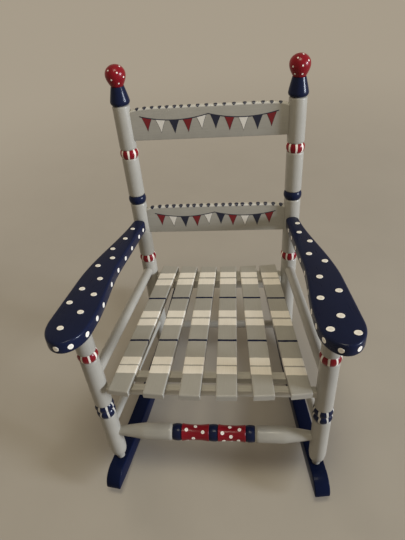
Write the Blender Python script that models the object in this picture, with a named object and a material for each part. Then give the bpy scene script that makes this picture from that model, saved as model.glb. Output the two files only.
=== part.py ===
"""A child's slatted rocking chair, made of separate wooden pieces with real joints between them.

The chair stands on the floor at z = 0, faces -Y and is mirrored about x = 0.
All pieces but the rockers are laid out in the seat's frame, which leans back with the chair:
its origin lies on the seat's top, midway between the front posts, +Y runs to the back and
+Z stands square on the seat. Heights on a post are measured along it from the seat's top.
"""

from math import ceil, cos, pi, radians, sin, sqrt, tan

import bmesh
import bpy
from mathutils import Matrix, Vector

# Gaps between pieces that touch or fit into each other
FIT_GAP = 0.0003
END_GAP = 0.0006
SOCKET_WEB = 0.0008

# Stance
SEAT_TILT = radians(2.7)
SEAT_HEIGHT = 0.2820

# Posts, between their axes on the seat's top
POST_RADIUS = 0.016
FRONT_POST_SPACING = 0.3885
BACK_POST_SPACING = 0.3054
POST_DEPTH = 0.3133
FRONT_POST_LEAN = radians(0.3)
BACK_POST_LEAN = radians(3.0)
BACK_POST_SPLAY = radians(0.75)

# Turned beads on the posts
BEAD_HEIGHT = 0.0172
DOUBLE_BEAD_HEIGHT = 0.0165
BEAD_BULGE = 0.0014
BEAD_FULLNESS = 0.7
GROOVE_DEPTH = 0.0017
GROOVE_SHOULDER = 0.0038
FRONT_BEAD = 0.0708
FRONT_DOUBLE_BEAD = -0.0718
BACK_LOW_BEAD = 0.0378
BACK_MIDDLE_BEAD = 0.1776
BACK_HIGH_BEAD = 0.2731

# Finial of a back post: a bell with an egg on it
BACK_POST_TOP = 0.3628
POST_TOP_ROUND = 0.0035
BELL_HEIGHT = 0.0322
BELL_RADIUS = 0.0179
BELL_LIP = 0.0065
BELL_NECK_RADIUS = 0.0118
EGG_HEIGHT = 0.0362
EGG_RADIUS = 0.0181
EGG_WIDEST = 0.0196
EGG_POLE_RADIUS = 0.0008

# Feet of the posts
FOOT_NECK_RADIUS = 0.0077
FOOT_NECK_HEIGHT = 0.0155
FOOT_TAPER_HEIGHT = 0.0250
FOOT_SHOULDER = 0.0026
FOOT_SOCKET_DEPTH = 0.0200

# Rockers
ROCKER_RADIUS = 1.200
ROCKER_FLAT = 0.040
ROCKER_HEIGHT = 0.0340
ROCKER_THICKNESS = 0.029
ROCKER_LENGTH = 0.563
ROCKER_FRONT_REACH = 0.057
ROCKER_REST = 0.1940
ROCKER_BACK_OUTSET = 0.0025
ROCKER_NOSE = 0.032
ROCKER_EDGE = 0.0015

# Back slats
BACK_SLAT_THICKNESS = 0.0115
BACK_SLAT_HEIGHT = 0.0600
BACK_SLAT_SHOULDER_DROP = 0.0055
BACK_SLAT_SHOULDER_RUN = 0.045
BACK_SLAT_TENON = 0.0095
BACK_SLAT_EDGE = 0.0012
CREST_SLAT_BOTTOM = 0.2972
LOWER_SLAT_BOTTOM = 0.0998

# Arms; the last two are shares of the length from the front post to the back end
ARM_THICKNESS = 0.0222
ARM_FRONT_UNDERSIDE = 0.1323
ARM_BACK_UNDERSIDE = 0.1136
ARM_OUTER_FRONT = 0.0375
ARM_INNER_FRONT = 0.0293
ARM_OUTER_BACK = 0.0098
ARM_INNER_BACK = 0.0153
ARM_NOSE_START = 0.014
ARM_NOSE_LENGTH = 0.0475
ARM_END_ROUND = 0.0100
ARM_EDGE = 0.0035
ARM_OUTER_NARROWS = 0.296
ARM_INNER_NARROWED = 0.490

# Seat
SLAT_COUNT = 6
SLAT_LENGTH = 0.347
SLAT_THICKNESS = 0.012
SLAT_GAP = 0.0085
SLAT_POST_GAP = 0.010
SLAT_OVERHANG = 0.0265
SLAT_BOW = 0.0070
SLAT_NOSE_ROUND = 0.0030
SLAT_EDGE = 0.0010
FRONT_RAIL_DEPTH = 0.013
FRONT_RAIL_HEIGHT = 0.013
BATTEN_DEPTH = 0.015
BATTEN_HEIGHT = 0.013
BATTEN_BEHIND_RAIL = 0.0140
BATTEN_INSET = 0.0030
BACK_RAIL_DEPTH = 0.034
BACK_RAIL_HEIGHT = 0.022
BACK_RAIL_TONGUE = 0.013
BACK_RAIL_CHEEK = 0.0020
RAIL_EDGE = 0.0010

# Rungs
UPPER_RUNG_RADIUS = 0.0096
UPPER_RUNG_FRONT = 0.0150
UPPER_RUNG_BACK = 0.0050
LOWER_RUNG_RADIUS = 0.0077
LOWER_RUNG_FRONT = -0.1303
LOWER_RUNG_BACK = -0.1470
BACK_RUNG_RADIUS = 0.0090
BACK_RUNG_LEVEL = -0.1630
FRONT_RUNG_LEVEL = -0.1452
FRONT_RUNG_RADIUS = 0.0157
FRONT_RUNG_END_RADIUS = 0.0088
FRONT_RUNG_TAPER = 0.0490
RUNG_MIDDLE_BEAD = 0.0166
RUNG_OUTER_BEAD = 0.0172
RUNG_SPOOL_LENGTH = 0.0511
RUNG_SPOOL_RADIUS = 0.0139
RUNG_COVE = 0.0040
RUNG_COVE_DEPTH = 0.0016
RUNG_CHAMFER = 0.0010

# Fasteners
ARM_DOWEL_RADIUS = 0.0040
ARM_DOWEL_IN_POST = 0.0140
ARM_DOWEL_IN_ARM = 0.0110
ARM_END_DOWEL_RADIUS = 0.0030
ARM_END_DOWEL_IN_ARM = 0.0140
ARM_END_DOWEL_IN_POST = 0.0100
SLAT_SCREW_HEAD = 0.0034
SLAT_SCREW_SHANK = 0.0016
SLAT_SCREW_BITE = 0.0075
ROCKER_SCREW_HEAD = 0.0042
ROCKER_SCREW_SHANK = 0.0021
ROCKER_SCREW_BITE = 0.0180
SCREW_RECESS = 0.0010
SCREW_RIM = 0.0006

# Facets of round pieces
POST_SIDES = 16
RUNG_SIDES = 14
PIN_SIDES = 10
ARC_STEPS = 4

SIDES = (("left", -1), ("right", 1))


# Materials


def paint(name, colour, roughness, metallic=0.0):
    material = bpy.data.materials.new(name)
    material.use_nodes = True
    shader = material.node_tree.nodes["Principled BSDF"]
    shader.inputs["Base Color"].default_value = (*colour, 1.0)
    shader.inputs["Roughness"].default_value = roughness
    shader.inputs["Metallic"].default_value = metallic
    return material


def make_paints():
    return {
        "grey": paint("grey_paint", (0.47, 0.45, 0.41), 0.35),
        "cream": paint("cream_paint", (0.80, 0.75, 0.66), 0.40),
        "navy": paint("navy_paint", (0.012, 0.014, 0.045), 0.30),
        "red": paint("red_paint", (0.33, 0.012, 0.020), 0.30),
        "beech": paint("bare_beech", (0.55, 0.36, 0.19), 0.60),
        "steel": paint("zinc_steel", (0.62, 0.61, 0.58), 0.35, 1.0),
    }


# Solids


def turned(outline, sides):
    """A solid of revolution about Z. The outline lists (radius, height) from one end to the other."""
    solid = bmesh.new()
    ends = [(0.0, outline[0][1])] + list(outline) + [(0.0, outline[-1][1])]
    points = [solid.verts.new((radius, 0.0, height)) for radius, height in ends]
    edges = [solid.edges.new(pair) for pair in zip(points, points[1:])]
    bmesh.ops.spin(
        solid, geom=points + edges, cent=(0, 0, 0), axis=(0, 0, 1), angle=2 * pi, steps=sides
    )
    bmesh.ops.remove_doubles(solid, verts=solid.verts, dist=1e-6)
    bmesh.ops.recalc_face_normals(solid, faces=solid.faces)
    return solid


def board(outline, thickness, edge, steps=1):
    """A flat board: an (x, y) outline raised from z = 0, with the edges of both faces rounded."""
    solid = bmesh.new()
    low = [solid.verts.new((x, y, 0.0)) for x, y in outline]
    high = [solid.verts.new((x, y, thickness)) for x, y in outline]
    solid.faces.new(low)
    solid.faces.new(high)
    rims = []
    for i in range(len(outline)):
        j = (i + 1) % len(outline)
        solid.faces.new((low[i], low[j], high[j], high[i]))
        rims += [solid.edges.get((low[i], low[j])), solid.edges.get((high[i], high[j]))]
    bmesh.ops.recalc_face_normals(solid, faces=solid.faces)
    bmesh.ops.bevel(
        solid, geom=rims, offset=edge, segments=steps, profile=0.5, affect="EDGES"
    )
    return solid


def block(low, high):
    """A box between two corners."""
    solid = bmesh.new()
    size = Matrix.Diagonal((*(high - low), 1.0))
    bmesh.ops.create_cube(solid, size=1.0, matrix=Matrix.Translation((low + high) / 2) @ size)
    return solid


def rod(start, end, radius, sides=PIN_SIDES):
    """A plain round rod between two points."""
    solid = turned([(radius, 0.0), (radius, (end - start).length)], sides)
    solid.transform(standing(start, end))
    return solid


def standing(start, end):
    """The placement that puts a turned solid's foot on start and points it at end."""
    turn = (end - start).to_track_quat("Z", "Y")
    return Matrix.Translation(start) @ turn.to_matrix().to_4x4()


# Objects


def add_piece(name, solid, material, parent=None, placement=Matrix()):
    """One named piece of the chair, round faces shaded smooth."""
    mesh = bpy.data.meshes.new(name)
    solid.to_mesh(mesh)
    solid.free()
    mesh.shade_smooth()
    mesh.set_sharp_from_angle(angle=radians(35))
    mesh.materials.append(material)
    piece = bpy.data.objects.new(name, mesh)
    bpy.context.scene.collection.objects.link(piece)
    piece.parent = parent
    piece.location, piece.rotation_euler = placement.to_translation(), placement.to_euler()
    return piece


def colour_bands(piece, bands):
    """Paints the faces of a turned piece between two heights with another material."""
    for low, high, material in bands:
        piece.data.materials.append(material)
        slot = len(piece.data.materials) - 1
        for face in piece.data.polygons:
            if low < face.center.z < high:
                face.material_index = slot


def cut_out(piece, parent, *solids):
    """Cuts solids, given in the parent's frame, out of a piece."""
    merged = bpy.data.meshes.new(piece.name + "_cutter")
    whole = bmesh.new()
    for solid in solids:
        solid.to_mesh(merged)
        whole.from_mesh(merged)
        solid.free()
    whole.to_mesh(merged)
    whole.free()
    cutter = bpy.data.objects.new(merged.name, merged)
    bpy.context.scene.collection.objects.link(cutter)
    cutter.parent = parent
    cutter.hide_render = True
    cutter.display_type = "WIRE"
    modifier = piece.modifiers.new("joints", "BOOLEAN")
    modifier.operation = "DIFFERENCE"
    modifier.solver = "EXACT"
    modifier.object = cutter


def add_frame(name, parent, location, turn_about_x):
    frame = bpy.data.objects.new(name, None)
    bpy.context.scene.collection.objects.link(frame)
    frame.parent = parent
    frame.location = location
    frame.rotation_euler.x = turn_about_x
    return frame


# Layout in the seat's frame


def front_axis(side, height):
    """A point on a front post's axis."""
    return Vector((side * FRONT_POST_SPACING / 2, height * sin(FRONT_POST_LEAN),
                   height * cos(FRONT_POST_LEAN)))


def back_axis(side, height):
    """A point on a back post's axis."""
    outwards = BACK_POST_SPACING / 2 + height * tan(BACK_POST_SPLAY)
    return Vector((side * outwards, POST_DEPTH + height * sin(BACK_POST_LEAN),
                   height * cos(BACK_POST_LEAN)))


def slat_width():
    clear = BACK_POST_SPACING - 2 * (POST_RADIUS + SLAT_POST_GAP)
    return (clear - (SLAT_COUNT - 1) * SLAT_GAP) / SLAT_COUNT


def slat_share(index):
    """How far out a slat lies, from -1 for the left one to 1 for the right one."""
    return 2 * index / (SLAT_COUNT - 1) - 1


def slat_middle(index, y):
    """The point of a slat's middle line at a distance behind the front posts."""
    outer = FRONT_POST_SPACING + (BACK_POST_SPACING - FRONT_POST_SPACING) * y / POST_DEPTH
    reach = outer / 2 - POST_RADIUS - SLAT_POST_GAP - slat_width() / 2
    return Vector((slat_share(index) * reach, y, 0.0))


def seat_underside():
    return -SLAT_THICKNESS - FIT_GAP


def batten_y():
    return FRONT_RAIL_DEPTH / 2 + BATTEN_BEHIND_RAIL + BATTEN_DEPTH / 2


def back_rail_span():
    """Front and back faces of the back seat rail."""
    middle = back_axis(1, seat_underside() - BACK_RAIL_HEIGHT / 2).y
    back = middle + BACK_RAIL_TONGUE / 2 + BACK_RAIL_CHEEK
    return back - BACK_RAIL_DEPTH, back


def back_rail_screw_y():
    return sum(back_rail_span()) / 2


# Layout on the floor


def half_flat():
    """Half the angle that one flat of a rocker's underside takes up."""
    return ROCKER_FLAT / ROCKER_RADIUS / 2


def rocker_curve(radius, y):
    """The height of a rocker's curve of a radius, at a distance behind the flat that it rests on."""
    return ROCKER_RADIUS * cos(half_flat()) - sqrt(radius * radius - y * y)


def rocker_top(y):
    return rocker_curve(ROCKER_RADIUS - ROCKER_HEIGHT, y)


def front_foot_y():
    return ROCKER_FRONT_REACH - ROCKER_LENGTH / 2


def rest_y():
    return front_foot_y() + ROCKER_REST


def seat_location():
    drop = SEAT_HEIGHT - rocker_top(-ROCKER_REST)
    return Vector((0.0, front_foot_y() + drop * tan(SEAT_TILT + FRONT_POST_LEAN), SEAT_HEIGHT))


def on_floor(point):
    """A point of the seat's frame, seen from the floor."""
    return Matrix.Translation(seat_location()) @ Matrix.Rotation(-SEAT_TILT, 4, "X") @ point


def foot_reach(axis, side, radius):
    """The distance down a post's axis from the seat's top to a rocker's curve."""
    top = on_floor(axis(side, 0.0))
    down = (on_floor(axis(side, -1.0)) - top).normalized()
    reach = SEAT_HEIGHT
    for _ in range(12):
        point = top + down * reach
        reach += (point.z - rocker_curve(radius, point.y - rest_y())) / -down.z
    return reach


def foot_on_rocker(axis, side):
    return foot_reach(axis, side, ROCKER_RADIUS - ROCKER_HEIGHT)


# Turned outlines


def foot_outline(reach):
    """A post's foot: the end in the rocker, a short neck and a round taper up to full thickness."""
    neck_top = reach - FOOT_NECK_HEIGHT
    narrow = FOOT_NECK_RADIUS + FOOT_SHOULDER
    points = [(FOOT_NECK_RADIUS, -reach - FOOT_SOCKET_DEPTH), (FOOT_NECK_RADIUS, -neck_top)]
    for step in range(ARC_STEPS + 1):
        turn = pi / 2 * step / ARC_STEPS
        points.append((
            narrow + (POST_RADIUS - narrow) * sin(turn),
            -neck_top + FOOT_TAPER_HEIGHT * (1 - cos(turn)),
        ))
    return points


def bead_outline(middle, height, count=1):
    """One or more beads side by side on a post, between two grooves with rounded shoulders."""
    low = middle - height * count / 2
    high = middle + height * count / 2
    floor = POST_RADIUS - GROOVE_DEPTH
    points = [(POST_RADIUS, low - GROOVE_SHOULDER)]
    points.append((POST_RADIUS - GROOVE_DEPTH / 3, low - GROOVE_SHOULDER / 3))
    for bead in range(count):
        for step in range(ARC_STEPS):
            rise = sin(pi * step / ARC_STEPS) ** BEAD_FULLNESS
            points.append((
                floor + (GROOVE_DEPTH + BEAD_BULGE) * rise,
                low + height * (bead + step / ARC_STEPS),
            ))
    points.append((floor, high))
    points.append((POST_RADIUS - GROOVE_DEPTH / 3, high + GROOVE_SHOULDER / 3))
    points.append((POST_RADIUS, high + GROOVE_SHOULDER))
    return points


def bell_outline():
    """The rounded top of a back post and the bell that stands on it."""
    base = BACK_POST_TOP
    points = [
        (POST_RADIUS, base - POST_TOP_ROUND),
        (POST_RADIUS - POST_TOP_ROUND / 3, base - POST_TOP_ROUND / 3),
        (POST_RADIUS - POST_TOP_ROUND, base),
    ]
    for step in range(1, ARC_STEPS + 1):
        turn = pi / 2 * step / ARC_STEPS
        points.append((
            POST_RADIUS - POST_TOP_ROUND + (BELL_RADIUS - POST_RADIUS + POST_TOP_ROUND) * sin(turn),
            base + BELL_LIP * (1 - cos(turn)),
        ))
    points.append((BELL_NECK_RADIUS, base + BELL_HEIGHT))
    return points


def egg_outline():
    """The egg on the bell, from its narrow foot over its widest ring to the pole."""
    base = BACK_POST_TOP + BELL_HEIGHT
    foot = BELL_NECK_RADIUS - RUNG_CHAMFER
    points = []
    for step in range(ARC_STEPS + 1):
        turn = pi / 2 * step / ARC_STEPS
        points.append((foot + (EGG_RADIUS - foot) * sin(turn), base + EGG_WIDEST * step / ARC_STEPS))
    for step in range(1, ARC_STEPS + 1):
        turn = pi / 2 * step / (ARC_STEPS + 1)
        points.append((
            EGG_RADIUS * cos(turn),
            base + EGG_WIDEST + (EGG_HEIGHT - EGG_WIDEST) * sin(turn),
        ))
    points.append((EGG_POLE_RADIUS, base + EGG_HEIGHT))
    return points


def plain_outline(radius, length):
    return [
        (radius - RUNG_CHAMFER, 0.0),
        (radius, RUNG_CHAMFER),
        (radius, length - RUNG_CHAMFER),
        (radius - RUNG_CHAMFER, length),
    ]


def half_rung_outline(half_length):
    """Half of the front rung, from its middle bead out to the end that stands in the post."""
    groove = FRONT_RUNG_RADIUS - RUNG_COVE_DEPTH
    spool_start = RUNG_MIDDLE_BEAD / 2
    bead_start = spool_start + RUNG_SPOOL_LENGTH
    cove_start = bead_start + RUNG_OUTER_BEAD
    plain_start = cove_start + RUNG_COVE
    taper_end = FRONT_POST_SPACING / 2 - POST_RADIUS
    points = [(FRONT_RUNG_RADIUS, spool_start / 2), (groove, spool_start)]
    for step in range(ARC_STEPS + 1):
        hollow = sin(pi * step / ARC_STEPS) * (FRONT_RUNG_RADIUS - RUNG_SPOOL_RADIUS)
        along = RUNG_CHAMFER + (RUNG_SPOOL_LENGTH - 2 * RUNG_CHAMFER) * step / ARC_STEPS
        points.append((FRONT_RUNG_RADIUS - hollow, spool_start + along))
    points += [
        (groove, bead_start),
        (FRONT_RUNG_RADIUS, bead_start + RUNG_OUTER_BEAD / 4),
        (FRONT_RUNG_RADIUS, bead_start + RUNG_OUTER_BEAD * 3 / 4),
        (groove, cove_start),
        (FRONT_RUNG_RADIUS, plain_start),
        (FRONT_RUNG_RADIUS, taper_end - FRONT_RUNG_TAPER),
        (FRONT_RUNG_END_RADIUS, taper_end),
        (FRONT_RUNG_END_RADIUS, half_length),
    ]
    return points


# Posts


def rung_socket_depth(radius):
    """How far a round end goes into a post: two that meet at right angles never touch inside it."""
    return POST_RADIUS - radius - SOCKET_WEB


def socket(post_point, other_point, radius, depth):
    """The hole in a post for a round end that points from the post to another point."""
    way = (other_point - post_point).normalized()
    return rod(
        post_point + way * (POST_RADIUS - depth - END_GAP),
        post_point + way * (POST_RADIUS + radius),
        radius + FIT_GAP,
        RUNG_SIDES,
    )


def front_post_sockets(side):
    front, back = front_axis, back_axis
    depth = rung_socket_depth
    across = Vector((-side, 0.0, 0.0))
    rung = front(side, FRONT_RUNG_LEVEL)
    return [
        socket(front(side, UPPER_RUNG_FRONT), back(side, UPPER_RUNG_BACK),
               UPPER_RUNG_RADIUS, depth(UPPER_RUNG_RADIUS)),
        socket(front(side, LOWER_RUNG_FRONT), back(side, LOWER_RUNG_BACK),
               LOWER_RUNG_RADIUS, depth(LOWER_RUNG_RADIUS)),
        socket(rung, rung + across, FRONT_RUNG_END_RADIUS, depth(FRONT_RUNG_END_RADIUS)),
        front_rail_mortise(side),
        arm_dowel_hole(side),
        rocker_screw_hole(front, side),
    ]


def back_post_sockets(side):
    front, back = front_axis, back_axis
    depth = rung_socket_depth
    across = Vector((-side, 0.0, 0.0))
    rung = back(side, BACK_RUNG_LEVEL)
    return [
        socket(back(side, UPPER_RUNG_BACK), front(side, UPPER_RUNG_FRONT),
               UPPER_RUNG_RADIUS, depth(UPPER_RUNG_RADIUS)),
        socket(back(side, LOWER_RUNG_BACK), front(side, LOWER_RUNG_FRONT),
               LOWER_RUNG_RADIUS, depth(LOWER_RUNG_RADIUS)),
        socket(rung, rung + across, BACK_RUNG_RADIUS, depth(BACK_RUNG_RADIUS)),
        back_rail_mortise(side),
        back_slat_mortise(side, CREST_SLAT_BOTTOM),
        back_slat_mortise(side, LOWER_SLAT_BOTTOM),
        arm_end_dowel_hole(side),
        rocker_screw_hole(back, side),
    ]


def trim_under_arm(solid, placement, side):
    """Cuts a front post's top to the slope of the arm that lies on it."""
    arm = arm_placement(side)
    into_post = placement.inverted()
    seat = into_post @ (arm @ Vector((0.0, 0.0, -FIT_GAP)))
    normal = into_post.to_3x3() @ (arm.to_3x3() @ Vector((0.0, 0.0, 1.0)))
    geometry = solid.verts[:] + solid.edges[:] + solid.faces[:]
    bmesh.ops.bisect_plane(solid, geom=geometry, plane_co=seat, plane_no=normal, clear_outer=True)
    rim = [edge for edge in solid.edges if edge.is_boundary]
    bmesh.ops.holes_fill(solid, edges=rim, sides=0)
    bmesh.ops.recalc_face_normals(solid, faces=solid.faces)


def add_front_post(name, side, seat, paints):
    reach = foot_on_rocker(front_axis, side)
    outline = foot_outline(reach)
    outline += bead_outline(FRONT_DOUBLE_BEAD, DOUBLE_BEAD_HEIGHT, 2)
    outline += bead_outline(FRONT_BEAD, BEAD_HEIGHT)
    outline.append((POST_RADIUS, ARM_FRONT_UNDERSIDE + ARM_THICKNESS / 2))
    solid = turned(outline, POST_SIDES)
    placement = standing(front_axis(side, 0.0), front_axis(side, 1.0))
    trim_under_arm(solid, placement, side)
    post = add_piece(f"front_post_{name}", solid, paints["grey"], seat, placement)
    colour_bands(post, [
        (FRONT_DOUBLE_BEAD - DOUBLE_BEAD_HEIGHT, FRONT_DOUBLE_BEAD + DOUBLE_BEAD_HEIGHT, paints["navy"]),
        (FRONT_BEAD - BEAD_HEIGHT / 2, FRONT_BEAD + BEAD_HEIGHT / 2, paints["red"]),
    ])
    cut_out(post, seat, *front_post_sockets(side))


def add_back_post(name, side, seat, paints):
    outline = foot_outline(foot_on_rocker(back_axis, side))
    for middle in (BACK_LOW_BEAD, BACK_MIDDLE_BEAD, BACK_HIGH_BEAD):
        outline += bead_outline(middle, BEAD_HEIGHT)
    outline += bell_outline() + egg_outline()
    placement = standing(back_axis(side, 0.0), back_axis(side, 1.0))
    post = add_piece(f"back_post_{name}", turned(outline, POST_SIDES), paints["grey"], seat, placement)
    half = BEAD_HEIGHT / 2
    bell_top = BACK_POST_TOP + BELL_HEIGHT
    colour_bands(post, [
        (BACK_LOW_BEAD - half, BACK_LOW_BEAD + half, paints["red"]),
        (BACK_MIDDLE_BEAD - half, BACK_MIDDLE_BEAD + half, paints["navy"]),
        (BACK_HIGH_BEAD - half, BACK_HIGH_BEAD + half, paints["red"]),
        (BACK_POST_TOP, bell_top, paints["navy"]),
        (bell_top, bell_top + EGG_HEIGHT, paints["red"]),
    ])
    cut_out(post, seat, *back_post_sockets(side))


# Rockers


def rocker_outline(start, end):
    """A rocker from the side, as (distance behind the flat it rests on, height)."""
    count = ceil(ROCKER_LENGTH / ROCKER_FLAT)
    shortest = ROCKER_FLAT / 4
    low = [start]
    for flat in range(-count, count):
        y = ROCKER_RADIUS * sin((2 * flat + 1) * half_flat())
        if start + shortest < y < end - shortest:
            low.append(y)
    low.append(end)
    points = [(y, rocker_curve(ROCKER_RADIUS, y)) for y in low]
    points += nose_outline(end, -1)[1:]
    spare = ROCKER_NOSE + shortest
    top = [y for y in low if start + spare < y < end - spare]
    points += [(y, rocker_top(y)) for y in reversed(top)]
    points += reversed(nose_outline(start, 1)[1:])
    return points


def nose_outline(tip, way):
    """The round end of a rocker, from its lower corner up to its top."""
    base = rocker_curve(ROCKER_RADIUS, tip)
    rise = rocker_top(tip + way * ROCKER_NOSE) - base
    points = []
    for step in range(ARC_STEPS + 1):
        turn = pi / 2 * step / ARC_STEPS
        points.append((tip + way * ROCKER_NOSE * (1 - cos(turn)), base + rise * sin(turn)))
    return points


def rocker_line(side):
    """Where a rocker's middle plane lies on the floor: a point under its front foot and its direction.
    The plane passes a little outside the back foot."""
    feet = []
    for axis, outset in ((front_axis, 0.0), (back_axis, ROCKER_BACK_OUTSET)):
        foot = on_floor(axis(side, -foot_on_rocker(axis, side)))
        feet.append(Vector((foot.x + side * outset, foot.y, 0.0)))
    return feet[0], (feet[1] - feet[0]).normalized()


def add_rocker(name, side, seat, paints):
    foot, way = rocker_line(side)
    start = -ROCKER_LENGTH / 2 - rest_y()
    end = ROCKER_LENGTH / 2 - rest_y()
    outline = [((y + rest_y() - foot.y) / way.y, z) for y, z in rocker_outline(start, end)]
    solid = board(outline, ROCKER_THICKNESS, ROCKER_EDGE)
    on_edge = Matrix(((0, 0, 1, -ROCKER_THICKNESS / 2), (1, 0, 0, 0), (0, 1, 0, 0), (0, 0, 0, 1)))
    solid.transform(on_edge)
    across = way.cross(Vector((0.0, 0.0, 1.0)))
    placement = Matrix((across, way, (0.0, 0.0, 1.0))).transposed().to_4x4()
    placement.translation = foot
    rocker = add_piece(f"rocker_{name}", solid, paints["navy"], None, placement)
    holes = []
    for axis in (front_axis, back_axis):
        reach = foot_on_rocker(axis, side)
        bottom = axis(side, -reach - FOOT_SOCKET_DEPTH - END_GAP)
        holes.append(rod(bottom, axis(side, -reach + ROCKER_HEIGHT), FOOT_NECK_RADIUS + FIT_GAP, POST_SIDES))
        holes.append(rocker_screw_clearance(axis, side))
    cut_out(rocker, seat, *holes)


# Back slats


def back_slat_shoulder(bottom):
    """Half the length of a back slat between the posts."""
    middle = bottom + BACK_SLAT_HEIGHT / 2
    return BACK_POST_SPACING / 2 + middle * tan(BACK_POST_SPLAY) - POST_RADIUS


def back_slat_outline(bottom):
    shoulder = back_slat_shoulder(bottom)
    end = shoulder + BACK_SLAT_TENON
    low_top = bottom + BACK_SLAT_HEIGHT - BACK_SLAT_SHOULDER_DROP
    right = [(end, bottom), (end, low_top)]
    for step in range(2 * ARC_STEPS + 1):
        turn = pi / 2 * step / (2 * ARC_STEPS)
        right.append((
            shoulder - BACK_SLAT_SHOULDER_RUN * (1 - cos(turn)),
            low_top + BACK_SLAT_SHOULDER_DROP * sin(turn),
        ))
    return right + [(-x, y) for x, y in reversed(right)]


def add_back_slat(name, bottom, back, paints):
    solid = board(back_slat_outline(bottom), BACK_SLAT_THICKNESS, BACK_SLAT_EDGE)
    upright = Matrix(((1, 0, 0, 0), (0, 0, -1, BACK_SLAT_THICKNESS / 2), (0, 1, 0, 0), (0, 0, 0, 1)))
    solid.transform(upright)
    add_piece(name, solid, paints["grey"], back)


def back_slat_mortise(side, bottom):
    shoulder = back_slat_shoulder(bottom)
    half = BACK_SLAT_THICKNESS / 2 + FIT_GAP
    ends = sorted((side * (shoulder + BACK_SLAT_TENON + END_GAP), side * (shoulder - POST_RADIUS / 2)))
    top = bottom + BACK_SLAT_HEIGHT - BACK_SLAT_SHOULDER_DROP + FIT_GAP
    solid = block(Vector((ends[0], -half, bottom - FIT_GAP)), Vector((ends[1], half, top)))
    solid.transform(
        Matrix.Translation((0.0, POST_DEPTH, 0.0)) @ Matrix.Rotation(-BACK_POST_LEAN, 4, "X")
    )
    return solid


# Arms


def arm_placement(side):
    """The frame of an arm: origin on its underside over the front post, +Y to the back post."""
    front = front_axis(side, ARM_FRONT_UNDERSIDE)
    along = (back_axis(side, ARM_BACK_UNDERSIDE) - front).normalized()
    across = along.cross(Vector((0.0, 0.0, 1.0))).normalized()
    placement = Matrix((across, along, across.cross(along))).transposed().to_4x4()
    placement.translation = front
    return placement


def arm_end(side):
    """The distance from the front post's axis to the arm's back end."""
    whole = back_axis(side, ARM_BACK_UNDERSIDE) - front_axis(side, ARM_FRONT_UNDERSIDE)
    return whole.length - POST_RADIUS - FIT_GAP


def eased(start, end, share):
    """Runs smoothly from start to end as share goes from 0 to 1."""
    share = min(max(share, 0.0), 1.0)
    return start + (end - start) * share * share * (3 - 2 * share)


def arm_outline(side):
    """A paddle: a round nose, a broad front and a narrow end with rounded corners at the back post."""
    end = arm_end(side)
    middle = (ARM_OUTER_FRONT - ARM_INNER_FRONT) / 2
    half = (ARM_OUTER_FRONT + ARM_INNER_FRONT) / 2
    steps = 3 * ARC_STEPS
    points = []
    for step in range(steps + 1):
        turn = pi * step / steps
        points.append((middle - half * cos(turn), -ARM_NOSE_START - ARM_NOSE_LENGTH * sin(turn)))
    straight = end - ARM_END_ROUND
    outer = []
    inner = []
    for step in range(1, steps + 1):
        y = -ARM_NOSE_START + (straight + ARM_NOSE_START) * step / steps
        share = y / end
        outer_share = (share - ARM_OUTER_NARROWS) / (1 - ARM_OUTER_NARROWS)
        outer.append((eased(ARM_OUTER_FRONT, ARM_OUTER_BACK, outer_share), y))
        inner.append((-eased(ARM_INNER_FRONT, ARM_INNER_BACK, share / ARM_INNER_NARROWED), y))
    points += outer
    for sign, reach in ((1, ARM_OUTER_BACK), (-1, ARM_INNER_BACK)):
        corner = []
        for step in range(1, ARC_STEPS + 1):
            turn = pi / 2 * step / ARC_STEPS
            corner.append((
                sign * (reach - ARM_END_ROUND * (1 - cos(turn))),
                straight + ARM_END_ROUND * sin(turn),
            ))
        points += corner if sign > 0 else list(reversed(corner))
    points += reversed(inner)
    return [(side * x, y) for x, y in points]


def arm_dowel_ends(side):
    foot = front_axis(side, ARM_FRONT_UNDERSIDE - ARM_DOWEL_IN_POST)
    return foot, front_axis(side, ARM_FRONT_UNDERSIDE + ARM_DOWEL_IN_ARM)


def arm_dowel_hole(side):
    low, high = arm_dowel_ends(side)
    spare = (high - low).normalized() * END_GAP
    return rod(low - spare, high + spare, ARM_DOWEL_RADIUS + FIT_GAP)


def arm_end_dowel_ends(side):
    placement = arm_placement(side)
    end = arm_end(side)
    middle = ARM_THICKNESS / 2
    front = placement @ Vector((0.0, end - ARM_END_DOWEL_IN_ARM, middle))
    return front, placement @ Vector((0.0, end + FIT_GAP + ARM_END_DOWEL_IN_POST, middle))


def arm_end_dowel_hole(side):
    front, back = arm_end_dowel_ends(side)
    spare = (back - front).normalized() * END_GAP
    return rod(front - spare, back + spare, ARM_END_DOWEL_RADIUS + FIT_GAP)


def add_arm(name, side, seat, paints):
    solid = board(arm_outline(side), ARM_THICKNESS, ARM_EDGE, 3)
    arm = add_piece(f"arm_{name}", solid, paints["navy"], seat, arm_placement(side))
    cut_out(arm, seat, arm_dowel_hole(side), arm_end_dowel_hole(side))
    for dowel, ends, radius in (
        ("arm_dowel", arm_dowel_ends(side), ARM_DOWEL_RADIUS),
        ("arm_end_dowel", arm_end_dowel_ends(side), ARM_END_DOWEL_RADIUS),
    ):
        outline = plain_outline(radius, (ends[1] - ends[0]).length)
        pin = turned(outline, PIN_SIDES)
        add_piece(f"{dowel}_{name}", pin, paints["beech"], seat, standing(*ends))


# Seat


def slat_outline():
    """A seat slat from the side, as (distance from the nose, height), with a rolled front edge."""
    round_ = SLAT_NOSE_ROUND
    points = [(0.0, -SLAT_THICKNESS)]
    for step in range(ARC_STEPS + 1):
        turn = pi / 2 * step / ARC_STEPS
        points.append((round_ * (1 - cos(turn)), -round_ * (1 - sin(turn))))
    return points + [(SLAT_LENGTH, 0.0), (SLAT_LENGTH, -SLAT_THICKNESS)]


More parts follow.
